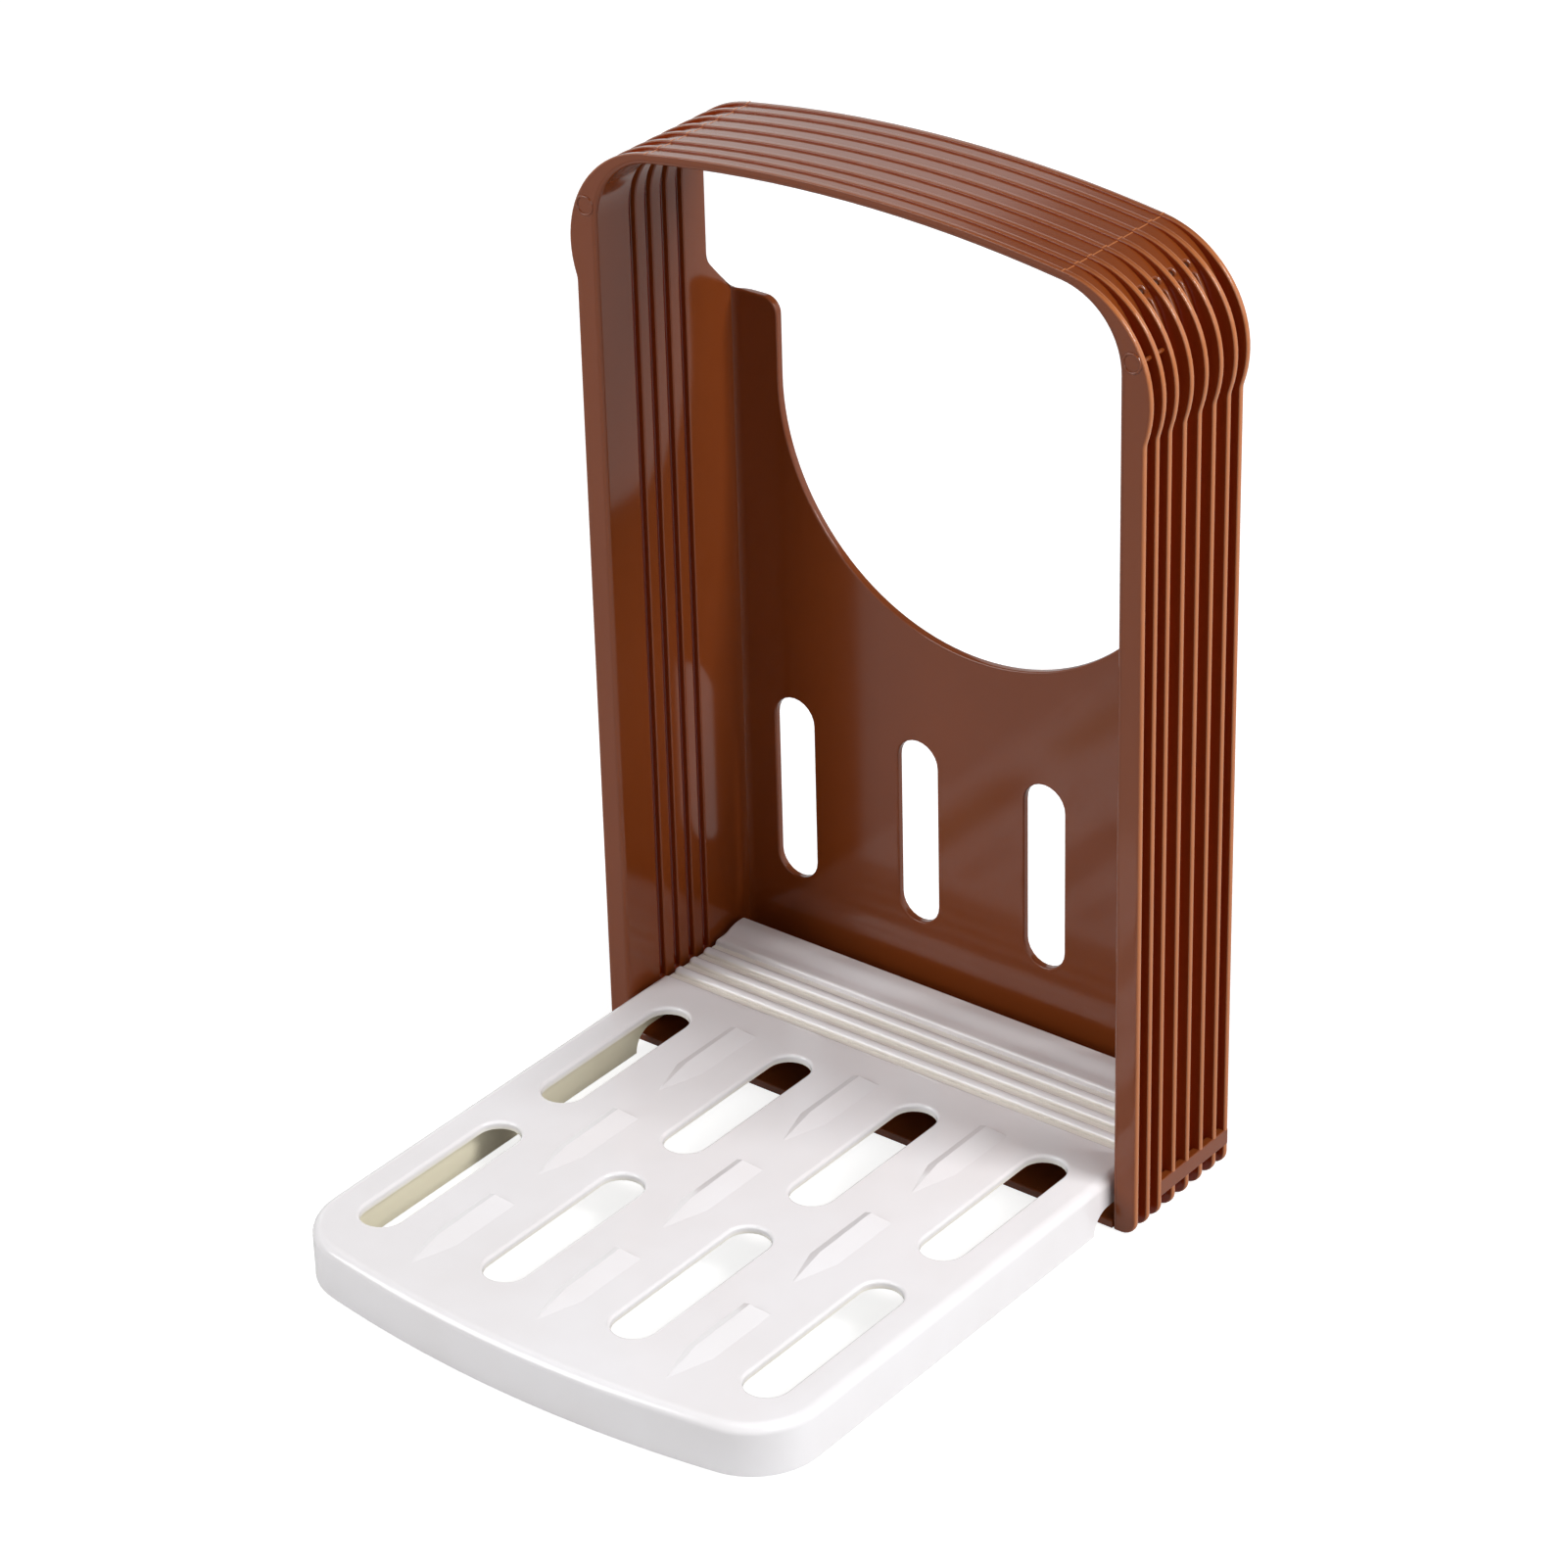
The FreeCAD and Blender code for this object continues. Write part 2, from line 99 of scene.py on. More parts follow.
# Tray
TRAY_HALF = 70.0
TRAY_REACH = 131.0
TRAY_REAR = 42.33
FRONT_RADIUS = 315.0
FRONT_CORNER = 17.5
REAR_CORNER = 6.0
EDGE_RADIUS = 2.4
SKIN = 2.0
DECK_Z = 13.0
TRAY_SLOT_WIDTH = 11.0
TRAY_SLOT_ROWS = ((0.4, 49.4), (-62.1, 50.9))
SLOT_RIM = 0.8
HOLLOW_HALF = 65.2
RELIEF = 5.5
HINGE = (38.03, 7.0)
HEEL_RADIUS = 4.3
PIN_RADIUS = 2.0
BOSS_RADIUS = 3.2
THICK_FROM_Y = 9.05
STEP_FRONT_Y = 9.6
STEP_Y = 11.3
GROOVE_Z = 11.4
RIDGE_WIDTH = 2.8
LEDGE_Y = 31.15
LIP_START_Y = 34.0
LIP_Y = 39.5
LIP_Z = 14.3
RIDGE_HALF_LENGTH = 69.5
WEDGE_LENGTH = 32.4
WEDGE_POINT = 11.9
WEDGE_HALF_WIDTH = 3.8
WEDGE_RISE = 1.1
WEDGE_CREST_RUN = 2.2
WEDGE_CREST_INSET = 0.8
WEDGE_FRONT_SHARE = 0.75
WEDGE_COLUMNS = (-37.0, 0.0, 37.0)
WEDGE_REAR_ENDS = (1.2, -43.1, -87.4)

# Roundings that the moulds leave on their edges
NOSE_ROUND = 0.95
RIM_ROUND = 0.42
FIN_ROUND = 0.5
FIN_CROWN_ROUND = 0.25
SLIT_END_ROUND = 0.9
SLIT_MOUTH_ROUND = 0.6
HOLE_END_ROUND = 0.5
TIE_BAR_ROUND = 0.3
STEP_ROUND = 0.7
MARGIN_ROUND = 0.8
LEDGE_ROUND = 0.8
WEDGE_CREST_ROUND = 0.15

# Small marks and bridges on the frame, with their places on its right side
MARK_RADIUS = 2.2
MARK_RING = 0.3
MARK_PLACE = (74.3, 218.0)
BRIDGE_RADIUS = 0.5
BRIDGE_PLACE = (75.6, 218.0)
WITNESS_WIDTH = 0.3
WITNESS_HEIGHT = 0.06

# How the meshes are divided
RING = 0.8
CORNER_STEPS = 13
PIVOT_PATCH_Y = 34.0
ROW_SCALE_FROM = 170.0
FIN_EDGE_BAND = 1.2
SHARP_ANGLE = 60.0
SMOOTH_ANGLE = 38.0

# How far pieces of a mesh reach into each other, and the gaps that keep them apart
FIRST_FIN_REACH = 1.0
FIN_REACH = 0.2
SURFACE_STEP = 0.02
WITNESS_REACH = 0.2
WEDGE_REACH = 0.3
RIDGE_REACH = 0.5
LEDGE_REACH = 1.6
PIN_REACH = 0.5
FLOOR_GAP = 0.05
PIN_CLEARANCE = 0.05
PIN_END_GAP = 0.25

# Painted light and shade per vertex: 0 is the plastic's plain colour, 1 its painted highlight or glow and
# -1 its painted shade
# Painted shade on the fins' faces and on the wall between the fins, where the gaps lie in shade
GAP_PAINTED_SHADE = -1.0
# Painted highlight and glow along the fins' edges and the witness lines
EDGE_PAINTED_HIGHLIGHT = 1.0
# Painted cream glow in the tray's hollow, slot walls and grooves, where light passes through and bounces
HOLLOW_PAINTED_GLOW = 1.0
SLOT_PAINTED_GLOW = 0.4
GROOVE_PAINTED_GLOW = 0.35
# Height over which the painted shade between the fins fades out below the corner
GAP_SHADE_FADE = 30.0
# Share of the painted edge highlight kept on the crown's low fins
CROWN_HIGHLIGHT_SHARE = 0.25

# Colours
BROWN = (0.205, 0.045, 0.009)
# Reflection strength, low where shade is painted in the gaps between the fins and plain elsewhere
BROWN_GLOSS = (0.08, 0.38)
# Deep red-brown of the painted shade between the fins
BROWN_PAINTED_SHADE = (0.32, 0.027, 0.003)
# Light orange of the painted highlight and glow on the fins' edges
BROWN_PAINTED_HIGHLIGHT = (0.48, 0.16, 0.052)
WHITE = (0.92, 0.905, 0.925)
# Cream of the painted glow where light passes through the white plastic
CREAM_PAINTED_GLOW = (0.95, 0.89, 0.68)
FLOW_SHADE = (0.95, 0.94, 0.93)

# Light and camera
AMBIENT = 0.18
SOFTBOX_DISTANCE = 1.7
SOFTBOXES = {
    "key": (103, 43, 0.66, 0.5),
    "front": (-38, 26, 0.52, 1.0),
    "side": (77, 28, 0.28, 1.0),
    "top": (0, 78, 0.09, 1.0),
}
PAPER = (0.5, 0.5, 0.5)
FLOOR_GLOW = (0.8, 0.35)
BACKDROP_GLOW = (1.1, 1.2)
BACKDROP_RADIUS = 4.0
BACKDROP_HEIGHT = 2.4
CAMERA_ANGLES = (38.645, 29.15, -1.548)
CAMERA_DISTANCE = 1.2221
CAMERA_TARGET = (-0.037524, 0.0609, 0.072292)
CAMERA_LENS = 118.59

crown_z = CROWN_APEX - CROWN_RADIUS
corner_x = INNER_HALF - CORNER_RADIUS
corner_z = crown_z + math.sqrt((CROWN_RADIUS - CORNER_RADIUS) ** 2 - corner_x ** 2)
corner_lean = math.atan2(corner_z - crown_z, corner_x)
ear_x = EAR_HALF - EAR_RADIUS
fin_crown_radius = CROWN_RADIUS + WALL + FIN_CROWN_HEIGHT
ear_z = crown_z + math.sqrt((fin_crown_radius - EAR_RADIUS) ** 2 - ear_x ** 2)
fillet_x = FIN_LEG_EDGE + EAR_FILLET
fillet_z = ear_z - math.sqrt((EAR_RADIUS + EAR_FILLET) ** 2 - (fillet_x - ear_x) ** 2)
ear_start_z = ear_z - EAR_RADIUS * (ear_z - fillet_z) / (EAR_RADIUS + EAR_FILLET)
fin_centres = [FIN_THICKNESS / 2 + sum(FIN_PITCHES[:i]) for i in range(len(FIN_PITCHES) + 1)]
guide_fins = fin_centres[2:7]
slit_centres = [(a + b) / 2 for a, b in zip(guide_fins, guide_fins[1:])]
slope = (SLOPE_START_Z - SHOULDER_Z) / (BACK_GAP - ARCH_DEPTH)
slope_angle = math.atan2(1, slope)
blend_z = SLOPE_START_Z + SLOPE_BLEND * math.tan(slope_angle / 2)
frame_depth = BACK_GAP + WALL
turn_x = INNER_HALF + WALL - CORNER_OUTSIDE
turn_y = frame_depth - CORNER_OUTSIDE
to_cad_frame = Matrix.Scale(MM, 4) @ Matrix.Translation((0, (TRAY_REACH - frame_depth) / 2, 0))


def spread(start, end, count):
    """Evenly spaced values from start to end, both included."""
    return [start + (end - start) * i / (count - 1) for i in range(count)]


def arc(cx, cy, radius, start, end, count):
    """Points of a circle with their outward normals: (x, y, nx, ny). Angles are in degrees."""
    normals = [(math.cos(math.radians(a)), math.sin(math.radians(a))) for a in spread(start, end, count)]
    return [(cx + radius * nx, cy + radius * ny, nx, ny) for nx, ny in normals]


def stadium(x, low, high, width, count=13):
    """A round-ended slot's outline along the second axis, with normals that point out of the slot."""
    radius = width / 2
    return arc(x, high - radius, radius, 0, 180, count) + arc(x, low + radius, radius, 180, 360, count)


class Mould:
    """A mesh that grows strip by strip."""

    def __init__(self):
        self.bm = bmesh.new()
        # Each vertex carries a level of painted light or shade, which the materials turn into colour
        self.painted_light_and_shade = self.bm.verts.layers.float.new("painted_light_and_shade")

    def verts(self, points, painted_light_and_shade=0.0):
        """New vertices that share one level of painted light or shade."""
        made = [self.bm.verts.new(p) for p in points]
        for vert in made:
            vert[self.painted_light_and_shade] = painted_light_and_shade
        return made

    def strip(self, a, b, closed=True):
        """Quads between two rows of vertices."""
        count = len(a) if closed else len(a) - 1
        for i in range(count):
            j = (i + 1) % len(a)
            self.bm.faces.new((a[i], a[j], b[j], b[i]))

    def fill(self, loops, axes):
        """Triangles between an outer loop and the round-ended holes in it, all in one plane."""
        verts = [v for loop in loops for v in loop]
        flat = [Vector((v.co[axes[0]], v.co[axes[1]])) for v in verts]
        edges, start = [], 0
        for loop in loops:
            edges += [(start + i, start + (i + 1) % len(loop)) for i in range(len(loop))]
            start += len(loop)
        owner = {v: number for number, loop in enumerate(loops) for v in loop}
        found = delaunay_2d_cdt(flat, edges, [], 1, 1e-7)
        for face in found[2]:
            corners = [verts[found[3][i][0]] for i in face]
            owners = {owner[v] for v in corners}
            if owners == {0} or len(owners) > 1:
                self.bm.faces.new(corners)

    def round_edges(self, edges, radius, segments=3):
        """Rounds those of the edges that are still there."""
        edges = [e for e in edges if e.is_valid]
        bmesh.ops.recalc_face_normals(self.bm, faces=self.bm.faces)
        bmesh.ops.bevel(self.bm, geom=edges, offset=radius, segments=segments, profile=0.5,
                        affect="EDGES", clamp_overlap=False)

    def box(self, low, high):
        """A closed box between two corners."""
        made = bmesh.ops.create_cube(self.bm, size=1)
        size = [b - a for a, b in zip(low, high)]
        middle = [(a + b) / 2 for a, b in zip(low, high)]
        bmesh.ops.transform(self.bm, matrix=Matrix.LocRotScale(middle, None, size), verts=made["verts"])
        return made["verts"]

    def piece(self, name, material, body, slot, *nodes):
        """The finished piece, on its body, in place of its CAD nodes."""
        bm = self.bm
        bmesh.ops.remove_doubles(bm, verts=bm.verts, dist=1e-4)
        bmesh.ops.recalc_face_normals(bm, faces=bm.faces)
        bmesh.ops.transform(bm, matrix=to_cad_frame, verts=bm.verts)
        for edge in bm.edges:
            edge.smooth = len(edge.link_faces) == 2 and edge.calc_face_angle() < math.radians(SMOOTH_ANGLE)
        for face in bm.faces:
            face.smooth = True
        mesh = bpy.data.meshes.new(name)
        bm.to_mesh(mesh)
        bm.free()
        mesh.materials.append(material)
        obj = bpy.data.objects.new(name, mesh)
        bpy.context.scene.collection.objects.link(obj)
        weighted = obj.modifiers.new("even shading", "WEIGHTED_NORMAL")
        weighted.keep_sharp = True
        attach(obj, body)
        if nodes:
            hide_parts(*nodes)
        return obj


# ---------------------------------------------------------------- frame

def mirrored_path(half):
    """A path of (x, z, nx, nz) from the right foot to the left one, from its right half."""
    return half + [(-x, z, -nx, nz) for x, z, nx, nz in reversed(half[:-1])]


def wall_path(leg_levels):
    """The arch's inner line with its outward normals, and every slit limit among its points."""
    legs = [(INNER_HALF, z, 1.0, 0.0) for z in leg_levels]
    low, high = SLIT_HOLE_ANGLES
    lean = math.degrees(corner_lean)
    angles = spread(0, SLIT_TOP_ANGLE, 9) + [low, high] + spread(high, lean, 9)[1:]
    corner = [arc(corner_x, corner_z, CORNER_RADIUS, a, a, 2)[0] for a in angles[1:]]
    crown = arc(0, crown_z, CROWN_RADIUS, lean, 90, 9)[1:]
    return mirrored_path(legs + corner + crown)


def z_top(y):
    """Height of the rear wall's sloping edge."""
    straight = SLOPE_START_Z - slope * (y - ARCH_DEPTH)
    across = ARCH_DEPTH + SLOPE_BLEND - y
    if across <= SLOPE_BLEND * math.cos(slope_angle):
        return straight
    return blend_z - math.sqrt(SLOPE_BLEND ** 2 - across ** 2)


def shell_columns():
    """Y levels of the arch wall, with both edges of every slit among them."""
    edges = [c + side * SLIT_WIDTH / 2 for c in slit_centres for side in (-1, 1)]
    return [0.0] + edges + [PIVOT_PATCH_Y, ARCH_DEPTH]


def turned_corner():
    """The rear wall's plan from the arch to the back plate, inside, with the way to its outside."""
    blend = [ARCH_DEPTH + SLOPE_BLEND * (1 - math.cos(slope_angle * i / 3)) for i in (1, 2, 3)]
    plan = [(INNER_HALF, y, 1.0, 0.0) for y in blend]
    room = CORNER_OUTSIDE - WALL
    for x, y, nx, ny in arc(turn_x, turn_y, CORNER_OUTSIDE, 0, 90, CORNER_STEPS):
        reach = room / max(nx, ny)
        if min(nx, ny) * reach > room - CORNER_INSIDE:
            along = (room - CORNER_INSIDE) * (nx + ny)
            reach = along + math.sqrt(along ** 2 - 2 * (room - CORNER_INSIDE) ** 2 + CORNER_INSIDE ** 2)
        inside_x, inside_y = turn_x + nx * reach, turn_y + ny * reach
        plan.append((inside_x, inside_y, (x - inside_x) / WALL, (y - inside_y) / WALL))
    return plan


def cutout_path():
    """The back plate's top edge and cut-out, right to left, with normals into the plate."""
    fillet_x = CUTOUT_HALF + SHOULDER_RADIUS
    fillet = arc(fillet_x, SHOULDER_Z - SHOULDER_RADIUS, SHOULDER_RADIUS, 90, 180, 8)
    right = [(turn_x, SHOULDER_Z, 0.0, -1.0)]
    right += [(x, z, -nx, -nz) for x, z, nx, nz in fillet]
    bowl = [(x, z, nx, nz) for x, z, nx, nz in arc(0, CUTOUT_Z, CUTOUT_HALF, 0, -90, 33)]
    half = right + bowl
    return half + [(-x, z, -nx, nz) for x, z, nx, nz in reversed(half[:-1])]


class Shell(Mould):
    """The frame's 2 mm wall: one sheet on the loaf's side, which is then given its thickness."""

    def __init__(self):
        super().__init__()
        self.out = {}

    def point(self, place, normal):
        """A vertex on the loaf's side, with the way to the outer side per millimetre of wall."""
        vert = self.bm.verts.new(place)
        self.out[vert] = Vector(normal)
        return vert

    def thicken(self, wall):
        """Adds the outer side and the walls of all openings, with painted shade on the outer side between
        the fins.
        """
        inner = list(self.bm.faces)
        rim = [e for e in self.bm.edges if len(e.link_faces) == 1]
        outer = {v: self.bm.verts.new(v.co + n * wall) for v, n in self.out.items()}
        for vert, other in outer.items():
            # Painted shade on the wall's outer side between the fins, fading out towards the corner
            if 0 < vert.co.y < ARCH_DEPTH:
                other[self.painted_light_and_shade] = GAP_PAINTED_SHADE * min(1, max(0, (corner_z - vert.co.z) / GAP_SHADE_FADE))
        for face in inner:
            self.bm.faces.new([outer[v] for v in reversed(face.verts)])
        for edge in rim:
            a, b = edge.verts
            self.bm.faces.new((a, b, outer[b], outer[a]))
        self.through = [self.bm.edges.get((v, outer[v])) for edge in rim for v in edge.verts]

    def sharp_edges(self):
        """Edges between two faces that meet at a clear angle."""
        bmesh.ops.recalc_face_normals(self.bm, faces=self.bm.faces)
        limit = math.radians(SHARP_ANGLE)
        return [e for e in self.bm.edges if len(e.link_faces) == 2 and e.calc_face_angle() > limit]

    def round_slit_ends(self):
        """Turns the square corners of the slits, and of the short holes above them, into round ends."""
        sharp = set(self.sharp_edges())
        corners = {e for e in self.through if e in sharp and 0.01 < e.verts[0].co.y < ARCH_DEPTH - 0.01}
        between = math.radians((SLIT_TOP_ANGLE + SLIT_HOLE_ANGLES[0]) / 2)
        top = corner_z + CORNER_RADIUS * math.sin(between)
        holes = {e for e in corners if min(v.co.z for v in e.verts) > top}
        self.round_edges(list(corners - holes), SLIT_END_ROUND, 5)
        self.round_edges(list(holes), HOLE_END_ROUND, 4)


def in_slit(path, i, ys, j):
    """Whether the wall's cell between two path points and two levels of Y lies in a slit."""
    middle = (ys[j] + ys[j + 1]) / 2
    if not any(abs(middle - c) < SLIT_WIDTH / 2 for c in slit_centres):
        return False
    x, z = [(path[i][k] + path[i + 1][k]) / 2 for k in (0, 1)]
    if z < SLIT_BOTTOM:
        return False
    angle = math.degrees(math.atan2(z - corner_z, abs(x) - corner_x))
    low, high = SLIT_HOLE_ANGLES
    return angle < SLIT_TOP_ANGLE or low < angle < high


def arch_sheet(shell):
    """The arch's own wall. Returns its grid of vertices and the levels along its legs."""
    share = (SHOULDER_Z - RING - ROW_SCALE_FROM) / (SHOULDER_Z - ROW_SCALE_FROM)
    below_slope = ROW_SCALE_FROM + (blend_z - ROW_SCALE_FROM) * share
    levels = [0.0, SLIT_BOTTOM, 28, 50, 75, 100, 125, 150, ROW_SCALE_FROM, SHOULDER_Z]
    levels += [below_slope, blend_z, 200, 207]
    path = wall_path(levels + [corner_z])
    ys = shell_columns()
    grid = [[shell.point((x, y, z), (nx, 0, nz)) for y in ys] for x, z, nx, nz in path]
    patch = ys.index(PIVOT_PATCH_Y)
    for i in range(len(path) - 1):
        for j in range(len(ys) - 1):
            at_pivot = j >= patch and i in (0, len(path) - 2)
            if not at_pivot and not in_slit(path, i, ys, j):
                shell.bm.faces.new((grid[i][j], grid[i + 1][j], grid[i + 1][j + 1], grid[i][j + 1]))
    return grid, levels


def rear_side(shell, grid, levels, side):
    """The wall behind one leg and its corner. Returns the column where the back plate starts."""
    rows = levels[:levels.index(blend_z) + 1]
    legs = grid if side > 0 else grid[::-1]
    columns = [[legs[j][-1] for j in range(len(rows))]]
    for x, y, nx, ny in turned_corner():
        fall = (z_top(y) - ROW_SCALE_FROM) / (blend_z - ROW_SCALE_FROM)
        heights = [min(z, ROW_SCALE_FROM) + max(0, z - ROW_SCALE_FROM) * fall for z in rows]
        columns.append([shell.point((side * x, y, z), (side * nx, ny, 0)) for z in heights])
    turn_start = len(columns) - CORNER_STEPS
    for c, (a, b) in enumerate(zip(columns, columns[1:])):
        for j in range(len(rows) - 1):
            if j > 0 or c >= turn_start:
                shell.bm.faces.new((a[j], b[j], b[j + 1], a[j + 1]))
    pivot_patch(shell, legs, columns[:turn_start + 1], side)
    return columns[-1]


def pivot_patch(shell, legs, columns, side):
    """The low wall round the hole that holds the tray's pin."""
    front = [legs[0][-2], legs[1][-2]]
    low = [front[0]] + [c[0] for c in columns]
    high = [front[1]] + [c[1] for c in columns]
    radius = PIN_RADIUS + PIN_CLEARANCE
    hole = [shell.point((side * INNER_HALF, y, z), (side, 0, 0))
            for y, z, _, _ in arc(*HINGE, radius, 0, 345, 24)]
    shell.fill([low + high[::-1], hole], (1, 2))


def plate_sheet(shell, right, left):
    """The back plate between the two rear corners."""
    path = cutout_path()

    def along(offset, first, last):
        """The cut-out's line moved into the plate, between two vertices of the corners."""
        inside = [shell.point((x + nx * offset, BACK_GAP, z + nz * offset), (0, 1, 0))
                  for x, z, nx, nz in path[1:-1]]
        return [first] + inside + [last]

    rim = along(0, right[-1], left[-1])
    ring = along(RING, right[-2], left[-2])
    shell.strip(rim, ring, closed=False)
    loops = [right[:-1] + ring[1:-1] + left[-2::-1]]
    for x in COLUMNS:
        outline = stadium(x, *BACK_SLOT_ENDS, BACK_SLOT_WIDTH)
        slot_rim, slot_ring = [[shell.point((px + nx * grow, BACK_GAP, pz + nz * grow), (0, 1, 0))
                                for px, pz, nx, nz in outline] for grow in (0, RING)]
        shell.strip(slot_rim, slot_ring)
        loops.append(slot_ring)
    shell.fill(loops, (0, 2))


def at_slit_mouth(place):
    """Whether a place lies on the arch's outer side at a slit or a short hole."""
    out = abs(place.x) - INNER_HALF
    if place.z > corner_z:
        out = math.hypot(abs(place.x) - corner_x, place.z - corner_z) - CORNER_RADIUS
    return out > WALL / 2 and any(abs(place.y - c) < (SLIT_WIDTH + SURFACE_STEP) / 2 for c in slit_centres)


def frame_shell():
    """The arch's wall, the rear walls and the back plate, with all their edges rounded."""
    shell = Shell()
    grid, levels = arch_sheet(shell)
    plate_sheet(shell, rear_side(shell, grid, levels, 1), rear_side(shell, grid, levels, -1))
    shell.thicken(WALL)
    shell.round_slit_ends()
    standing = [e for e in shell.sharp_edges() if any(v.co.z > 0.01 for v in e.verts)]
    nose = {e for e in standing if all(v.co.y < 0.01 for v in e.verts)}
    mouths = {e for e in standing if all(at_slit_mouth(v.co) for v in e.verts)} - nose
    shell.round_edges(list(nose), NOSE_ROUND, 5)
    shell.round_edges(list(mouths), SLIT_MOUTH_ROUND, 4)
    shell.round_edges([e for e in standing if e not in nose | mouths], RIM_ROUND)
    return shell


def leg_edge(z):
    """How far out the fin's edge lies on a leg, at a height up to the corner's centre."""
    if z < FOOT_RADIUS:
        return FIN_LEG_EDGE - FOOT_RADIUS + math.sqrt(FOOT_RADIUS ** 2 - (FOOT_RADIUS - z) ** 2)
    if z < fillet_z:
        return FIN_LEG_EDGE
    if z < ear_start_z:
        return fillet_x - math.sqrt(EAR_FILLET ** 2 - (z - fillet_z) ** 2)
    return ear_x + math.sqrt(EAR_RADIUS ** 2 - (z - ear_z) ** 2)


def corner_edge(angle):
    """How far the fin's edge lies from the corner's centre, at an angle up from level."""
    away = Vector((corner_x - ear_x, corner_z - ear_z))
    along = away.dot(Vector((math.cos(angle), math.sin(angle))))
    return -along + math.sqrt(along ** 2 - away.length_squared + EAR_RADIUS ** 2)


def fin_path():
    """Points of the fin's edge with the place and direction to measure its root from."""
    foot = [FOOT_RADIUS * (1 - math.cos(math.radians(a))) for a in spread(0, 90, 7)]
    turn = spread(fillet_z, ear_start_z, 5)[1:]
    ear = spread(ear_start_z, corner_z, 8)[1:]
    levels = foot + [40, 80, 120, 160, fillet_z - 3, fillet_z] + turn + ear
    half = [(INNER_HALF, z, 1.0, 0.0, leg_edge(z) - INNER_HALF) for z in levels]
    lean = math.degrees(corner_lean)
    for x, z, nx, nz in arc(corner_x, corner_z, CORNER_RADIUS, 0, lean, 20)[1:]:
        half.append((x, z, nx, nz, corner_edge(math.atan2(nz, nx)) - CORNER_RADIUS))
    for x, z, nx, nz in arc(0, crown_z, CROWN_RADIUS, lean, 90, 12)[1:]:
        half.append((x, z, nx, nz, WALL + FIN_CROWN_HEIGHT))
    return half + [(-x, z, -nx, nz, d) for x, z, nx, nz, d in reversed(half[:-1])]


def fin_profile(number, out):
    """A fin's section as (distance out, y, painted light or shade), from its root in front to its root
    behind.
    """
    last = len(fin_centres) - 1
    middle = fin_centres[number]
    root = FIRST_FIN_REACH if number == 0 else WALL - FIN_REACH
    height = out - WALL - FIN_CROWN_HEIGHT
    radius = min(FIN_ROUND, FIN_CROWN_ROUND + height / 6)
    near = max(root + 0.1, out - FIN_EDGE_BAND)
    # Painted highlight along the fin's edge, weaker on the crown
    edge = EDGE_PAINTED_HIGHLIGHT * min(1, CROWN_HIGHLIGHT_SHARE + height / 2)
    half = FIN_THICKNESS / 2
    sides = []
    for turn, outermost in ((-1, 0), (1, last)):
        # Painted shade on every fin face that looks into a gap
        face = 0.0 if number == outermost else GAP_PAINTED_SHADE
        side = [(root, middle + turn * half, face), (near, middle + turn * half, face * 0.6)]
        for a, b, _, _ in arc(0, 0, radius, 0, 90, 4):
            level = middle + turn * (half - radius + a)
            side.append((out - radius + b, level, face * 0.5 if b < 0.01 else edge * b / radius))
        sides.append(side)
    return sides[0] + [(out, middle, EDGE_PAINTED_HIGHLIGHT * min(1, height / 2))] + sides[1][::-1]


def fins():
    """Eight flat arches with rounded edges. The first one's face runs into the wall's nose."""
    mould = Mould()
    for number in range(len(fin_centres)):
        rings = []
        for x, z, nx, nz, out in fin_path():
            rings.append([mould.verts([(x + nx * d, y, z + nz * d)], painted_light_and_shade)[0]
                          for d, y, painted_light_and_shade in fin_profile(number, out)])
        for a, b in zip(rings, rings[1:]):
            mould.strip(a, b)
        mould.bm.faces.new(rings[0])
        mould.bm.faces.new(rings[-1][::-1])
    return mould


def rounded_box(mould, low, high, radius, segments=3):
    """A closed box with all its edges rounded."""
    verts = set(mould.box(low, high))
    edges = [e for e in mould.bm.edges if e.verts[0] in verts and e.verts[1] in verts]
    mould.round_edges(edges, radius, segments)


def cylinder(mould, radius, length, middle, axis):
    """A closed cylinder along X or Y. Returns its vertices."""
    made = bmesh.ops.create_cone(mould.bm, cap_ends=True, segments=40, radius1=radius, radius2=radius,
                                 depth=length)
    turn = Matrix.Rotation(math.pi / 2, 4, "Y" if axis == "X" else "X")
    bmesh.ops.transform(mould.bm, matrix=Matrix.Translation(middle) @ turn, verts=made["verts"])
    return made["verts"]


def ejector_mark(mould, side):
    """The low round ring that an ejector pin leaves on the front fin."""
    rings = []
    for _, _, across, height in arc(0, 0, 1, 0, 180, 7):
        radius = MARK_RADIUS + MARK_RING * across
        rings.append(mould.verts([(side * x, -MARK_RING * height, z)
                                  for x, z, _, _ in arc(*MARK_PLACE, radius, 0, 350, 36)]))
    for a, b in zip(rings, rings[1:]):
        mould.strip(a, b)


def witness_lines(mould):
    """The faint lines that the mould's parting leaves across the crown, over bands and fins."""
    half = FIN_THICKNESS / 2
    spans = [(c - half, c + half, FIN_CROWN_HEIGHT) for c in fin_centres]
    spans += [(a + half, b - half, 0.0) for a, b in zip(fin_centres, fin_centres[1:])]
    for side in (-1, 1):
        turn = Matrix.Rotation(side * (math.pi / 2 - corner_lean), 4, "Y")
        stand = Matrix.Translation((0, 0, crown_z)) @ turn
        for y0, y1, height in spans:
            level = CROWN_RADIUS + WALL + height
            verts = mould.box((-WITNESS_WIDTH / 2, y0, level - WITNESS_REACH),
                              (WITNESS_WIDTH / 2, y1, level + WITNESS_HEIGHT))
            bmesh.ops.transform(mould.bm, matrix=stand, verts=verts)
            # Painted highlight: the lines take the edges' light colour
            for vert in verts:
                vert[mould.painted_light_and_shade] = EDGE_PAINTED_HIGHLIGHT


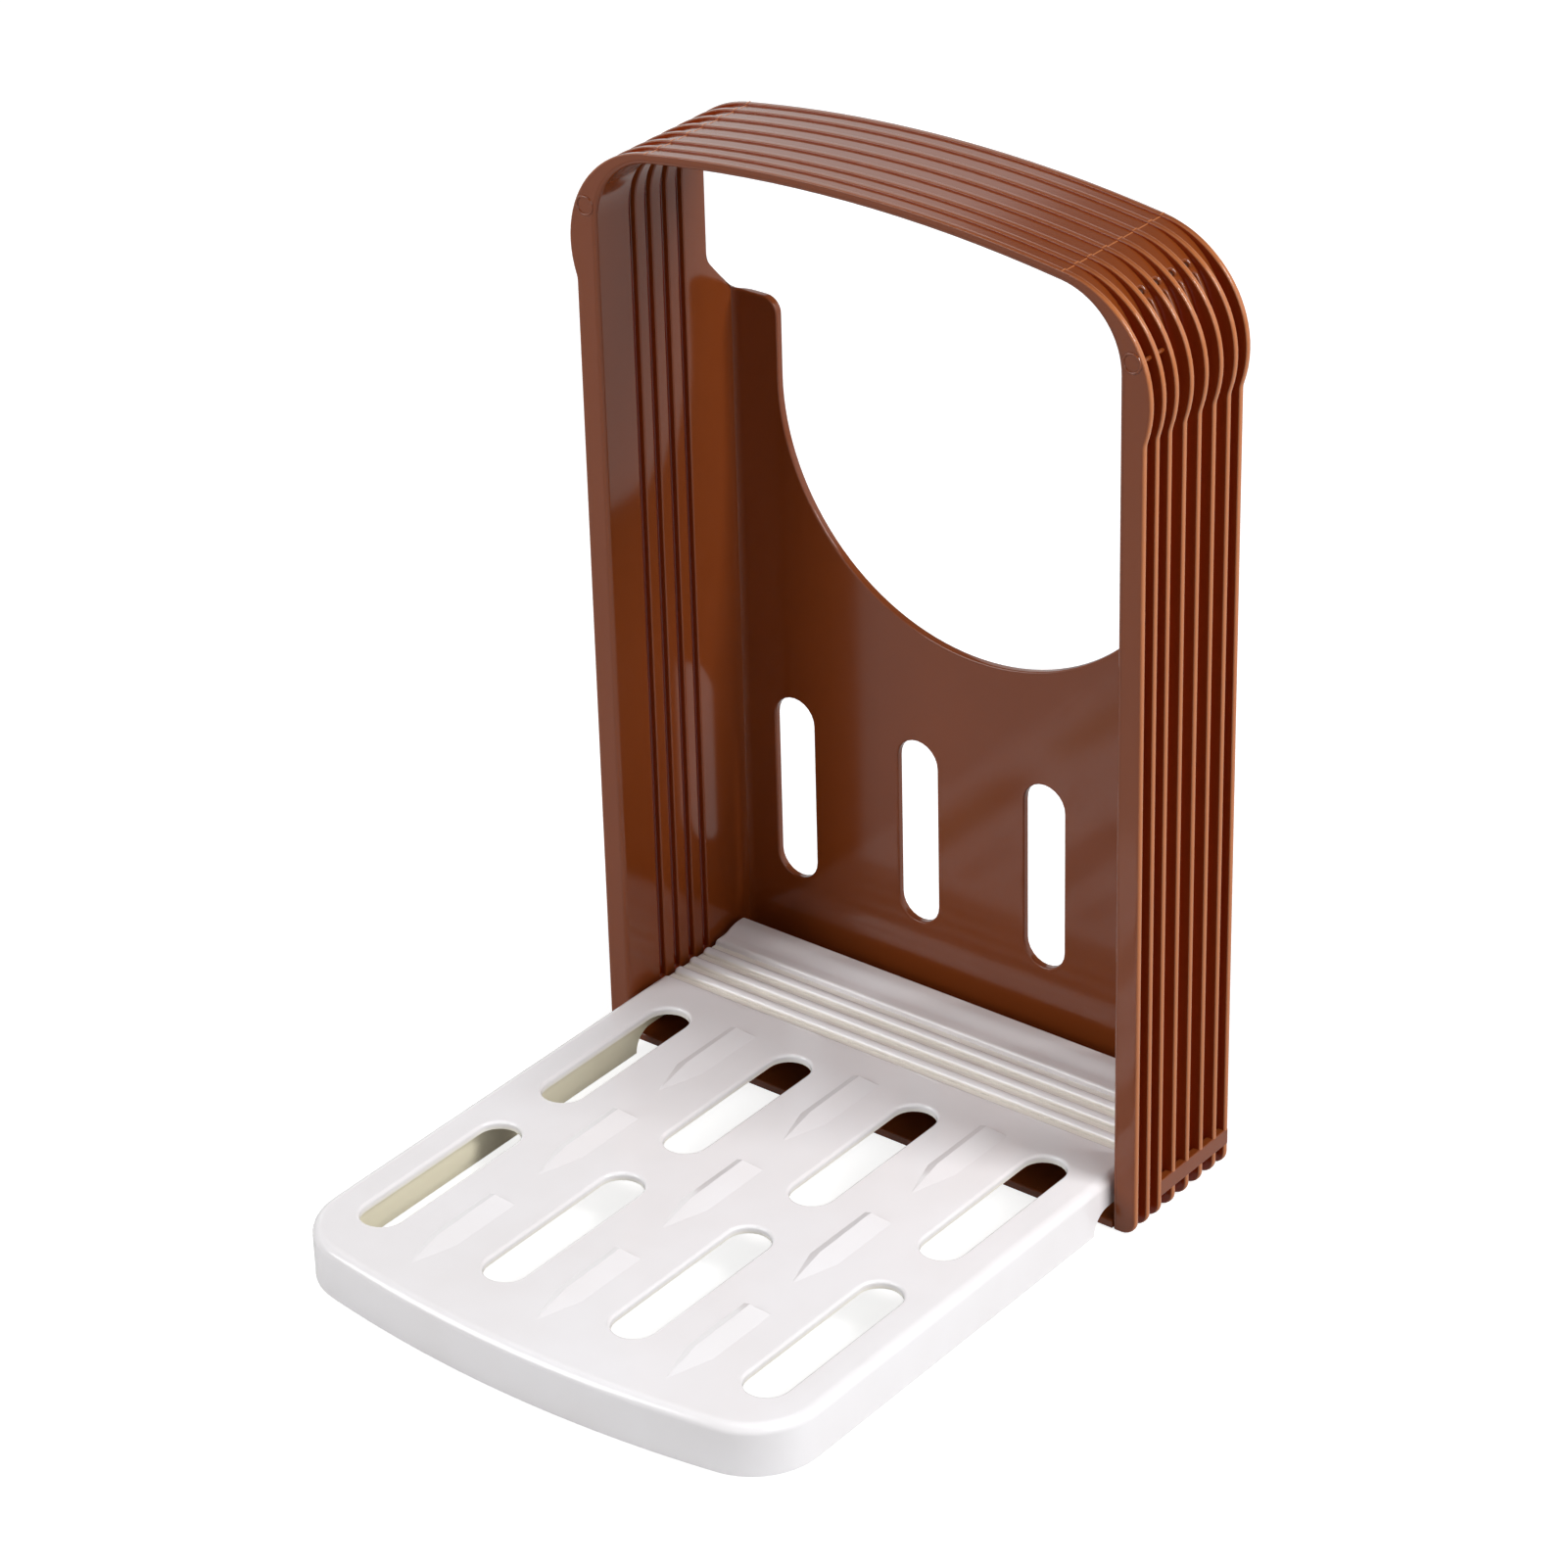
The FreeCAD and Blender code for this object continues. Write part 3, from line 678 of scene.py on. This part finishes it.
def small_frame_parts():
    """Tie bars, ejector marks, witness lines and the little bridges between the front fins."""
    mould = Mould()
    y0, y1 = guide_fins[0], fin_centres[-1] + FIN_THICKNESS / 2 - SURFACE_STEP
    bridge_x, bridge_z = BRIDGE_PLACE
    for side in (-1, 1):
        xs = sorted((side * (FIN_LEG_EDGE - TIE_BAR_DEPTH), side * (FIN_LEG_EDGE + SURFACE_STEP)))
        rounded_box(mould, (xs[0], y0, TIE_BAR[0]), (xs[1], y1, TIE_BAR[1]), TIE_BAR_ROUND)
        ejector_mark(mould, side)
        for a, b in zip(fin_centres, fin_centres[1:3]):
            cylinder(mould, BRIDGE_RADIUS, b - a, (side * bridge_x, (a + b) / 2, bridge_z), "Y")
    witness_lines(mould)
    return mould


def floor_sheet():
    """The thin plate between the feet."""
    mould = Mould()
    half, rear = INNER_HALF - FLOOR_GAP, BACK_GAP - FLOOR_GAP
    corner = arc(half - CORNER_INSIDE, rear - CORNER_INSIDE, CORNER_INSIDE, 0, 90, 7)
    plan = [(half, 0.0)] + [(x, y) for x, y, _, _ in corner]
    plan += [(-x, y) for x, y in reversed(plan)]
    low = mould.verts([(x, y, 0) for x, y in plan])
    high = mould.verts([(x, y, FLOOR_THICKNESS) for x, y in plan])
    mould.strip(low, high)
    mould.bm.faces.new(low[::-1])
    mould.bm.faces.new(high)
    mould.round_edges([e for e in mould.bm.edges if all(v in high for v in e.verts)], RIM_ROUND)
    return mould


# ---------------------------------------------------------------- tray

def skirt_bottom(y):
    """Height of the tray's lower edge: it clears the floor plate and turns round the heel."""
    if y <= -RELIEF:
        return 0.0
    if y < 0:
        return math.sqrt(RELIEF ** 2 - y ** 2)
    away = abs(y - HINGE[0])
    if away >= HEEL_RADIUS:
        return RELIEF if y < HINGE[0] else HINGE[1]
    return min(RELIEF if y < HINGE[0] else HINGE[1], HINGE[1] - math.sqrt(HEEL_RADIUS ** 2 - away ** 2))


def tray_plan():
    """The tray's outline as a closed loop of (x, y, nx, ny), from the middle of its front."""
    centre = TRAY_REACH - FRONT_RADIUS
    fx = TRAY_HALF - FRONT_CORNER
    fy = centre + math.sqrt((FRONT_RADIUS - FRONT_CORNER) ** 2 - fx ** 2)
    lean = math.degrees(math.atan2(fy - centre, fx))
    front = arc(0, centre, FRONT_RADIUS, 90, lean, 15)[:-1] + arc(fx, fy, FRONT_CORNER, lean, 0, 15)
    half = [(x, -y, nx, -ny) for x, y, nx, ny in front]
    notch = [-RELIEF * math.cos(math.radians(a)) for a in spread(0, 90, 9)]
    heel_start = HINGE[0] - math.sqrt(HEEL_RADIUS ** 2 - (HINGE[1] - RELIEF) ** 2)
    levels = spread(-fy, -12, 7)[1:] + notch
    levels += [THICK_FROM_Y, STEP_FRONT_Y, STEP_Y, 22, heel_start, 34.4, 35.2]
    half += [(TRAY_HALF, y, 1.0, 0.0) for y in levels]
    half += arc(TRAY_HALF - REAR_CORNER, TRAY_REAR - REAR_CORNER, REAR_CORNER, 0, 90, 9)
    half.append((0.0, TRAY_REAR, 0.0, 1.0))
    return half + [(-x, y, -nx, ny) for x, y, nx, ny in half[-2:0:-1]]


def inset_loop(mould, plan, inset, height, half=TRAY_HALF, painted_light_and_shade=0.0):
    """The plan moved inward and kept within +-half; height is a level or a function of Y."""
    points = []
    for x, y, nx, ny in plan:
        px, py = max(-half, min(half, x - nx * inset)), y - ny * inset
        points.append((px, py, height(py) if callable(height) else height))
    return mould.verts(points, painted_light_and_shade)


def tray_skin(mould):
    """The whole moulding but for its small features: outer side, deck, slots and hollow."""
    plan = tray_plan()
    count = len(plan)
    front = [i for i in range(count) if plan[i][1] < STEP_Y + 0.01]
    split = max(i for i in front if i < count / 2)
    ahead = list(range(count - split, count)) + list(range(split + 1))
    behind = list(range(split, count - split + 1))
    shoulder_z = GROOVE_Z - MARGIN_ROUND
    low = inset_loop(mould, plan, 0, skirt_bottom)
    side = inset_loop(mould, plan, 0, shoulder_z)
    mould.strip(low, side)
    deck_rows = [[side[i] for i in ahead]]
    for a in spread(0, 90, 8):
        turn = math.radians(a)
        inset = EDGE_RADIUS * (1 - math.cos(turn))
        level = DECK_Z - EDGE_RADIUS * (1 - math.sin(turn))
        deck_rows.append(inset_loop(mould, [plan[i] for i in ahead], inset, level))
    margin_rows = [[side[i] for i in behind]]
    for a in (30, 60, 90):
        turn = math.radians(a)
        inset = MARGIN_ROUND * (1 - math.cos(turn))
        level = GROOVE_Z - MARGIN_ROUND * (1 - math.sin(turn))
        # Painted cream glow on the margin's floor, as in the grooves
        painted_light_and_shade = GROOVE_PAINTED_GLOW if a == 90 else 0.0
        margin_rows.append(inset_loop(mould, [plan[i] for i in behind], inset, level, painted_light_and_shade=painted_light_and_shade))
    for rows in (deck_rows, margin_rows):
        for a, b in zip(rows, rows[1:]):
            mould.strip(a, b, closed=False)
    step = deck_step(mould, deck_rows, margin_rows)
    mould.fill([margin_rows[-1]], (0, 1))
    rims, holes = slot_walls(mould)
    mould.fill([deck_rows[-1][1:-1]] + rims, (0, 1))
    under_side(mould, plan, low, holes)
    mould.round_edges(step, STEP_ROUND, 4)


def deck_step(mould, deck_rows, margin_rows):
    """The small step down from the deck to the hinge end. Returns its upper edges."""
    top = deck_rows[-1]
    mould.bm.faces.new((top[0], top[1], top[-2], top[-1]))
    left = [row[0] for row in deck_rows]
    right = [row[-1] for row in deck_rows]
    low_right = [row[0] for row in margin_rows[1:]]
    low_left = [row[-1] for row in margin_rows[1:]]
    mould.fill([left + right[::-1] + low_right + low_left[::-1]], (0, 2))
    edges = [mould.bm.edges.get(pair) for side in (left, right) for pair in zip(side[1:], side[2:])]
    return edges + [mould.bm.edges.get((top[0], top[-1]))]


def slot_walls(mould):
    """Rounded rim and wall of every slot. Returns their loops in the deck's top and underside."""
    rims, holes = [], []
    for rear, length in TRAY_SLOT_ROWS:
        for x in COLUMNS:
            outline = stadium(x, rear - length, rear, TRAY_SLOT_WIDTH, 15)
            rows = []
            for a in spread(90, 0, 5):
                turn = math.radians(a)
                level = DECK_Z - SLOT_RIM * (1 - math.sin(turn))
                grow = SLOT_RIM * (1 - math.cos(turn))
                rows.append(inset_loop(mould, outline, -grow, level))
            # The slot walls shade into a painted cream glow towards the underside
            rows.append(inset_loop(mould, outline, 0, DECK_Z - SKIN, painted_light_and_shade=SLOT_PAINTED_GLOW))
            for a, b in zip(rows, rows[1:]):
                mould.strip(a, b)
            rims.append(rows[0])
            holes.append(rows[-1])
    return rims, holes


def under_side(mould, plan, low, holes):
    """The hollow inside the skirt, with the slots' holes in its ceiling."""
    thick_z = GROOVE_Z - SKIN
    count = len(plan)
    # Painted cream glow on the walls and ceiling of the hollow
    inner = inset_loop(mould, plan, SKIN, skirt_bottom, HOLLOW_HALF, painted_light_and_shade=HOLLOW_PAINTED_GLOW)
    mould.strip(low, inner)
    wall = inset_loop(mould, plan, SKIN, thick_z, HOLLOW_HALF, painted_light_and_shade=HOLLOW_PAINTED_GLOW)
    mould.strip(inner, wall)
    split = max(i for i in range(count // 2) if plan[i][1] < THICK_FROM_Y + 0.01)
    ahead = list(range(count - split, count)) + list(range(split + 1))
    behind = list(range(split, count - split + 1))
    over = [plan[i] for i in ahead]
    ceiling = inset_loop(mould, over, SKIN, DECK_Z - SKIN, HOLLOW_HALF, painted_light_and_shade=HOLLOW_PAINTED_GLOW)
    start = [wall[i] for i in ahead]
    mould.strip(start, ceiling, closed=False)
    mould.bm.faces.new((start[0], start[-1], ceiling[-1], ceiling[0]))
    mould.fill([ceiling] + holes, (0, 1))
    mould.fill([[wall[i] for i in behind]], (0, 1))


def ridge(mould, y0):
    """One half-round ridge between two grooves, with domed ends."""
    radius = RIDGE_WIDTH / 2
    rise = DECK_Z - GROOVE_Z - radius
    domes = [(RIDGE_HALF_LENGTH - radius * (1 - math.sin(a)), math.cos(a))
             for a in (math.radians(d) for d in (80, 62, 45, 30, 15, 0))]
    stations = [(-x, size) for x, size in domes] + domes[::-1]
    rings = []
    for x, size in stations:
        ring = []
        for turn in [-30] + spread(0, 180, 11) + [210]:
            a = math.radians(turn)
            height = rise + radius * size * math.sin(a) if 0 <= turn <= 180 else -RIDGE_REACH
            place = (x, y0 + radius - radius * size * math.cos(a), GROOVE_Z + height)
            # Painted cream glow low on the ridge's sides, in the grooves
            ring += mould.verts([place], GROOVE_PAINTED_GLOW if turn < 20 or turn > 160 else 0.0)
        rings.append(ring)
    for a, b in zip(rings, rings[1:]):
        mould.strip(a, b)
    mould.bm.faces.new(rings[0])
    mould.bm.faces.new(rings[-1][::-1])


def ledge_and_lip(mould):
    """The raised end behind the grooves: a ledge that rises in a soft cove along the rear."""
    rear = TRAY_REAR - 0.01
    foot = GROOVE_Z - LEDGE_REACH
    front = arc(LEDGE_Y + LEDGE_ROUND, DECK_Z - LEDGE_ROUND, LEDGE_ROUND, 180, 90, 6)
    back = arc(rear - LEDGE_ROUND, LIP_Z - LEDGE_ROUND, LEDGE_ROUND, 90, 0, 6)
    profile = [(LEDGE_Y, foot)] + [(y, z) for y, z, _, _ in front]
    for t in spread(0, 1, 9):
        climb = (LIP_Z - DECK_Z) * (1 - math.cos(math.pi * t)) / 2
        profile.append((LIP_START_Y + (LIP_Y - LIP_START_Y) * t, DECK_Z + climb))
    profile += [(y, z) for y, z, _, _ in back] + [(rear, foot)]
    ends = [(x, DECK_Z - z) for x, z, _, _ in
            arc(RIDGE_HALF_LENGTH - LEDGE_ROUND, DECK_Z - LEDGE_ROUND, LEDGE_ROUND, 0, 90, 4)]
    loops = []
    for x, drop in [(-x, drop) for x, drop in ends] + ends[::-1]:
        loops.append(mould.verts([(x, y, max(z - drop, foot)) for y, z in profile]))
    for a, b in zip(loops, loops[1:]):
        mould.strip(a, b)
    mould.bm.faces.new(loops[0])
    mould.bm.faces.new(loops[-1][::-1])


def wedge(mould, x, rear):
    """A low pointed wedge: its crest climbs near its left side, and one broad face falls to the right."""
    tip = rear - WEDGE_LENGTH
    shoulder = tip + WEDGE_POINT
    half = WEDGE_HALF_WIDTH
    plan = [(0, tip), (half, shoulder), (half, rear), (-half, rear), (-half, shoulder)]
    crest_x = WEDGE_CREST_RUN - half
    low = mould.verts([(x + px, y, DECK_Z - WEDGE_REACH) for px, y in plan])
    foot = mould.verts([(x + px, y, DECK_Z) for px, y in plan])
    front, back = mould.verts([
        (x + crest_x, shoulder + WEDGE_CREST_INSET, DECK_Z + WEDGE_FRONT_SHARE * WEDGE_RISE),
        (x + crest_x, rear - WEDGE_CREST_INSET, DECK_Z + WEDGE_RISE)])
    mould.strip(low, foot)
    mould.bm.faces.new(low[::-1])
    tip_vert, right_front, right_back, left_back, left_front = foot
    for corners in ((tip_vert, right_front, front), (right_front, right_back, back, front),
                    (right_back, left_back, back), (left_back, left_front, front, back),
                    (left_front, tip_vert, front)):
        mould.bm.faces.new(corners)
    crest = [mould.bm.edges.get(pair) for pair in ((tip_vert, front), (front, back), (back, right_back))]
    mould.round_edges(crest, WEDGE_CREST_ROUND)


def pins(mould):
    """The stub pins on the tray's cheeks."""
    for side in (-1, 1):
        for radius, face in ((BOSS_RADIUS, INNER_HALF), (PIN_RADIUS, INNER_HALF + WALL)):
            start, end = TRAY_HALF - PIN_REACH, face - PIN_END_GAP
            cylinder(mould, radius, end - start, (side * (start + end) / 2, *HINGE), "X")


def tray():
    """The whole tray with its ridges, ledge, wedges and pins."""
    mould = Mould()
    tray_skin(mould)
    for a, b in zip(slit_centres, slit_centres[1:]):
        ridge(mould, (a + b - RIDGE_WIDTH) / 2)
    ledge_and_lip(mould)
    for x in WEDGE_COLUMNS:
        for rear in WEDGE_REAR_ENDS:
            wedge(mould, x, rear)
    pins(mould)
    return mould


# ---------------------------------------------------------------- materials

def noise(tree, place, scale, detail):
    """A noise texture in the object's own coordinates."""
    texture = tree.nodes.new("ShaderNodeTexNoise")
    texture.inputs["Scale"].default_value = scale
    texture.inputs["Detail"].default_value = detail
    tree.links.new(place.outputs["Object"], texture.inputs["Vector"])
    return texture


def ramp(tree, source, stops):
    """A colour ramp over a value; stops are (position, colour)."""
    node = tree.nodes.new("ShaderNodeValToRGB")
    elements = node.color_ramp.elements
    while len(elements) < len(stops):
        elements.new(0.5)
    for element, (position, colour) in zip(elements, stops):
        element.position, element.color = position, (*colour, 1)
    tree.links.new(source, node.inputs["Fac"])
    return node.outputs["Color"]


def spread_over(tree, source, low, high, start=0.0, end=1.0):
    """A value between start and end turned into one between low and high."""
    node = tree.nodes.new("ShaderNodeMapRange")
    node.inputs["From Min"].default_value = start
    node.inputs["From Max"].default_value = end
    node.inputs["To Min"].default_value = low
    node.inputs["To Max"].default_value = high
    tree.links.new(source, node.inputs["Value"])
    return node.outputs["Result"]


def moulded_plastic(name, painted_shade, plain, light, roughness):
    """A glossy moulded plastic whose colour follows the painted light and shade, with faint flow marks and
    haze.
    """
    material = bpy.data.materials.new(name)
    material.use_nodes = True
    tree = material.node_tree
    shader = tree.nodes["Principled BSDF"]
    place = tree.nodes.new("ShaderNodeTexCoord")
    painted_light_and_shade = tree.nodes.new("ShaderNodeAttribute")
    painted_light_and_shade.attribute_name = "painted_light_and_shade"
    position = spread_over(tree, painted_light_and_shade.outputs["Fac"], 0, 1, GAP_PAINTED_SHADE, EDGE_PAINTED_HIGHLIGHT)
    # Painted shade, plain colour and painted highlight or glow, by the vertices' painted level
    colour = ramp(tree, position, ((0.0, painted_shade), (0.5, plain), (1.0, light)))
    flow = noise(tree, place, 33.0, 3.0)
    shade = ramp(tree, flow.outputs["Fac"], ((0.3, FLOW_SHADE), (0.7, (1, 1, 1))))
    mix = tree.nodes.new("ShaderNodeMix")
    mix.data_type = "RGBA"
    mix.blend_type = "MULTIPLY"
    mix.inputs["Factor"].default_value = 1.0
    tree.links.new(colour, mix.inputs[6])
    tree.links.new(shade, mix.inputs[7])
    tree.links.new(mix.outputs[2], shader.inputs["Base Color"])
    haze = noise(tree, place, 55.0, 4.0)
    tree.links.new(spread_over(tree, haze.outputs["Fac"], *roughness), shader.inputs["Roughness"])
    sink = noise(tree, place, 22.0, 2.0)
    bump = tree.nodes.new("ShaderNodeBump")
    bump.inputs["Strength"].default_value = 0.05
    bump.inputs["Distance"].default_value = 0.0006
    tree.links.new(sink.outputs["Fac"], bump.inputs["Height"])
    tree.links.new(bump.outputs["Normal"], shader.inputs["Normal"])
    return material, position


def brown_plastic():
    """The frame's plastic, with painted shade between the fins and painted highlights on their edges; the
    painted shade in the gaps also dims their reflections.
    """
    material, position = moulded_plastic("brown_plastic", BROWN_PAINTED_SHADE, BROWN, BROWN_PAINTED_HIGHLIGHT, (0.1, 0.16))
    tree = material.node_tree
    # The painted shade in the gaps between the fins also dims their reflections
    tree.links.new(spread_over(tree, position, *BROWN_GLOSS, 0.0, 0.5),
                   tree.nodes["Principled BSDF"].inputs["Specular IOR Level"])
    return material


def white_plastic():
    """The tray's plastic, with a painted cream glow in its hollow, slot walls and grooves, where light
    passes through it and bounces.
    """
    material, _ = moulded_plastic("white_plastic", WHITE, WHITE, CREAM_PAINTED_GLOW, (0.08, 0.13))
    return material


# ---------------------------------------------------------------- stage

def pale_world():
    """Even light from every side."""
    world = bpy.data.worlds.new("studio")
    bpy.context.scene.world = world
    world.use_nodes = True
    light = world.node_tree.nodes["Background"]
    light.inputs["Color"].default_value = (1.0, 0.985, 0.97, 1)
    light.inputs["Strength"].default_value = AMBIENT


def paper(name, seen, mirrored):
    """White paper with a glow of its own that only the camera and glossy reflections meet."""
    material = bpy.data.materials.new(name)
    material.use_nodes = True
    tree = material.node_tree
    tree.nodes.remove(tree.nodes["Principled BSDF"])
    sheet = tree.nodes.new("ShaderNodeBsdfDiffuse")
    sheet.inputs["Color"].default_value = (*PAPER, 1)
    path = tree.nodes.new("ShaderNodeLightPath")
    shaders = [sheet]
    for kind, strength in (("Is Camera Ray", seen), ("Is Glossy Ray", mirrored)):
        level = tree.nodes.new("ShaderNodeMath")
        level.operation = "MULTIPLY"
        level.inputs[1].default_value = strength
        tree.links.new(path.outputs[kind], level.inputs[0])
        glow = tree.nodes.new("ShaderNodeEmission")
        tree.links.new(level.outputs[0], glow.inputs["Strength"])
        both = tree.nodes.new("ShaderNodeAddShader")
        tree.links.new(shaders[-1].outputs[0], both.inputs[0])
        tree.links.new(glow.outputs[0], both.inputs[1])
        shaders.append(both)
    tree.links.new(shaders[-1].outputs[0], tree.nodes["Material Output"].inputs["Surface"])
    return material


def stage(name, bm, glow):
    """A piece of the studio, made of paper."""
    mesh = bpy.data.meshes.new(name)
    bm.to_mesh(mesh)
    bm.free()
    mesh.materials.append(paper(name, *glow))
    obj = bpy.data.objects.new(name, mesh)
    bpy.context.scene.collection.objects.link(obj)
    return obj


def floor():
    """The paper that the guide stands on."""
    bm = bmesh.new()
    bmesh.ops.create_grid(bm, x_segments=1, y_segments=1, size=BACKDROP_RADIUS)
    stage("floor", bm, FLOOR_GLOW).location.z = -0.0002


def backdrop():
    """A low round wall of paper about the floor."""
    bm = bmesh.new()
    bmesh.ops.create_circle(bm, segments=96, radius=BACKDROP_RADIUS)
    raised = bmesh.ops.extrude_edge_only(bm, edges=bm.edges)["geom"]
    rim = [v for v in raised if isinstance(v, bmesh.types.BMVert)]
    bmesh.ops.translate(bm, vec=(0, 0, BACKDROP_HEIGHT), verts=rim)
    stage("backdrop", bm, BACKDROP_GLOW)


def softbox(name, azimuth, elevation, level, size):
    """A square soft lamp, azimuth degrees to the right of the arch's front; level is how bright
    it makes white paper that faces it."""
    light = bpy.data.lights.new(name, "AREA")
    light.size = size
    light.energy = level * (math.pi * SOFTBOX_DISTANCE) ** 2
    obj = bpy.data.objects.new(name, light)
    bpy.context.scene.collection.objects.link(obj)
    turn, rise = math.radians(azimuth), math.radians(elevation)
    away = Vector((math.cos(rise) * math.sin(turn), -math.cos(rise) * math.cos(turn), math.sin(rise)))
    obj.location = away * SOFTBOX_DISTANCE
    obj.rotation_euler = away.to_track_quat("Z", "Y").to_euler()


def camera():
    """The camera: azimuth to the right of the arch's front, elevation and roll, in degrees."""
    data = bpy.data.cameras.new("camera")
    data.sensor_fit = "HORIZONTAL"
    data.sensor_width = 36.0
    data.lens = CAMERA_LENS
    data.clip_end = 50.0
    obj = bpy.data.objects.new("camera", data)
    bpy.context.scene.collection.objects.link(obj)
    azimuth, elevation, roll = (math.radians(a) for a in CAMERA_ANGLES)
    back = Vector((math.sin(azimuth) * math.cos(elevation), -math.cos(azimuth) * math.cos(elevation),
                   math.sin(elevation)))
    right = Vector((math.cos(azimuth), math.sin(azimuth), 0))
    up = back.cross(right)
    turned_right = right * math.cos(roll) + up * math.sin(roll)
    turned_up = up * math.cos(roll) - right * math.sin(roll)
    turn = Matrix((turned_right, turned_up, back)).transposed()
    obj.matrix_world = Matrix.Translation(Vector(CAMERA_TARGET) + back * CAMERA_DISTANCE) @ turn.to_4x4()
    bpy.context.scene.camera = obj


def main():
    """Loads the CAD frame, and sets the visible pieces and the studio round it."""
    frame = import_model()
    bodies = frame["record"]["behaviour"]["bodies"]
    brown, white = brown_plastic(), white_plastic()
    frame_nodes = [n for n in bodies["frame"] if n != "floor_plate"]
    frame_shell().piece("frame_wall", brown, "frame", "brown_plastic", *frame_nodes)
    fins().piece("fins", brown, "frame", "brown_plastic")
    small_frame_parts().piece("tie_bars", brown, "frame", "brown_plastic")
    floor_sheet().piece("foot_plate", brown, "frame", "brown_plastic", "floor_plate")
    tray().piece("fold_down_tray", white, "tray", "white_plastic", *bodies["tray"])
    pale_world()
    floor()
    backdrop()
    for name, settings in SOFTBOXES.items():
        softbox(name, *settings)
    camera()
    bpy.context.scene.view_settings.view_transform = "Standard"
    bpy.context.view_layer.update()


main()
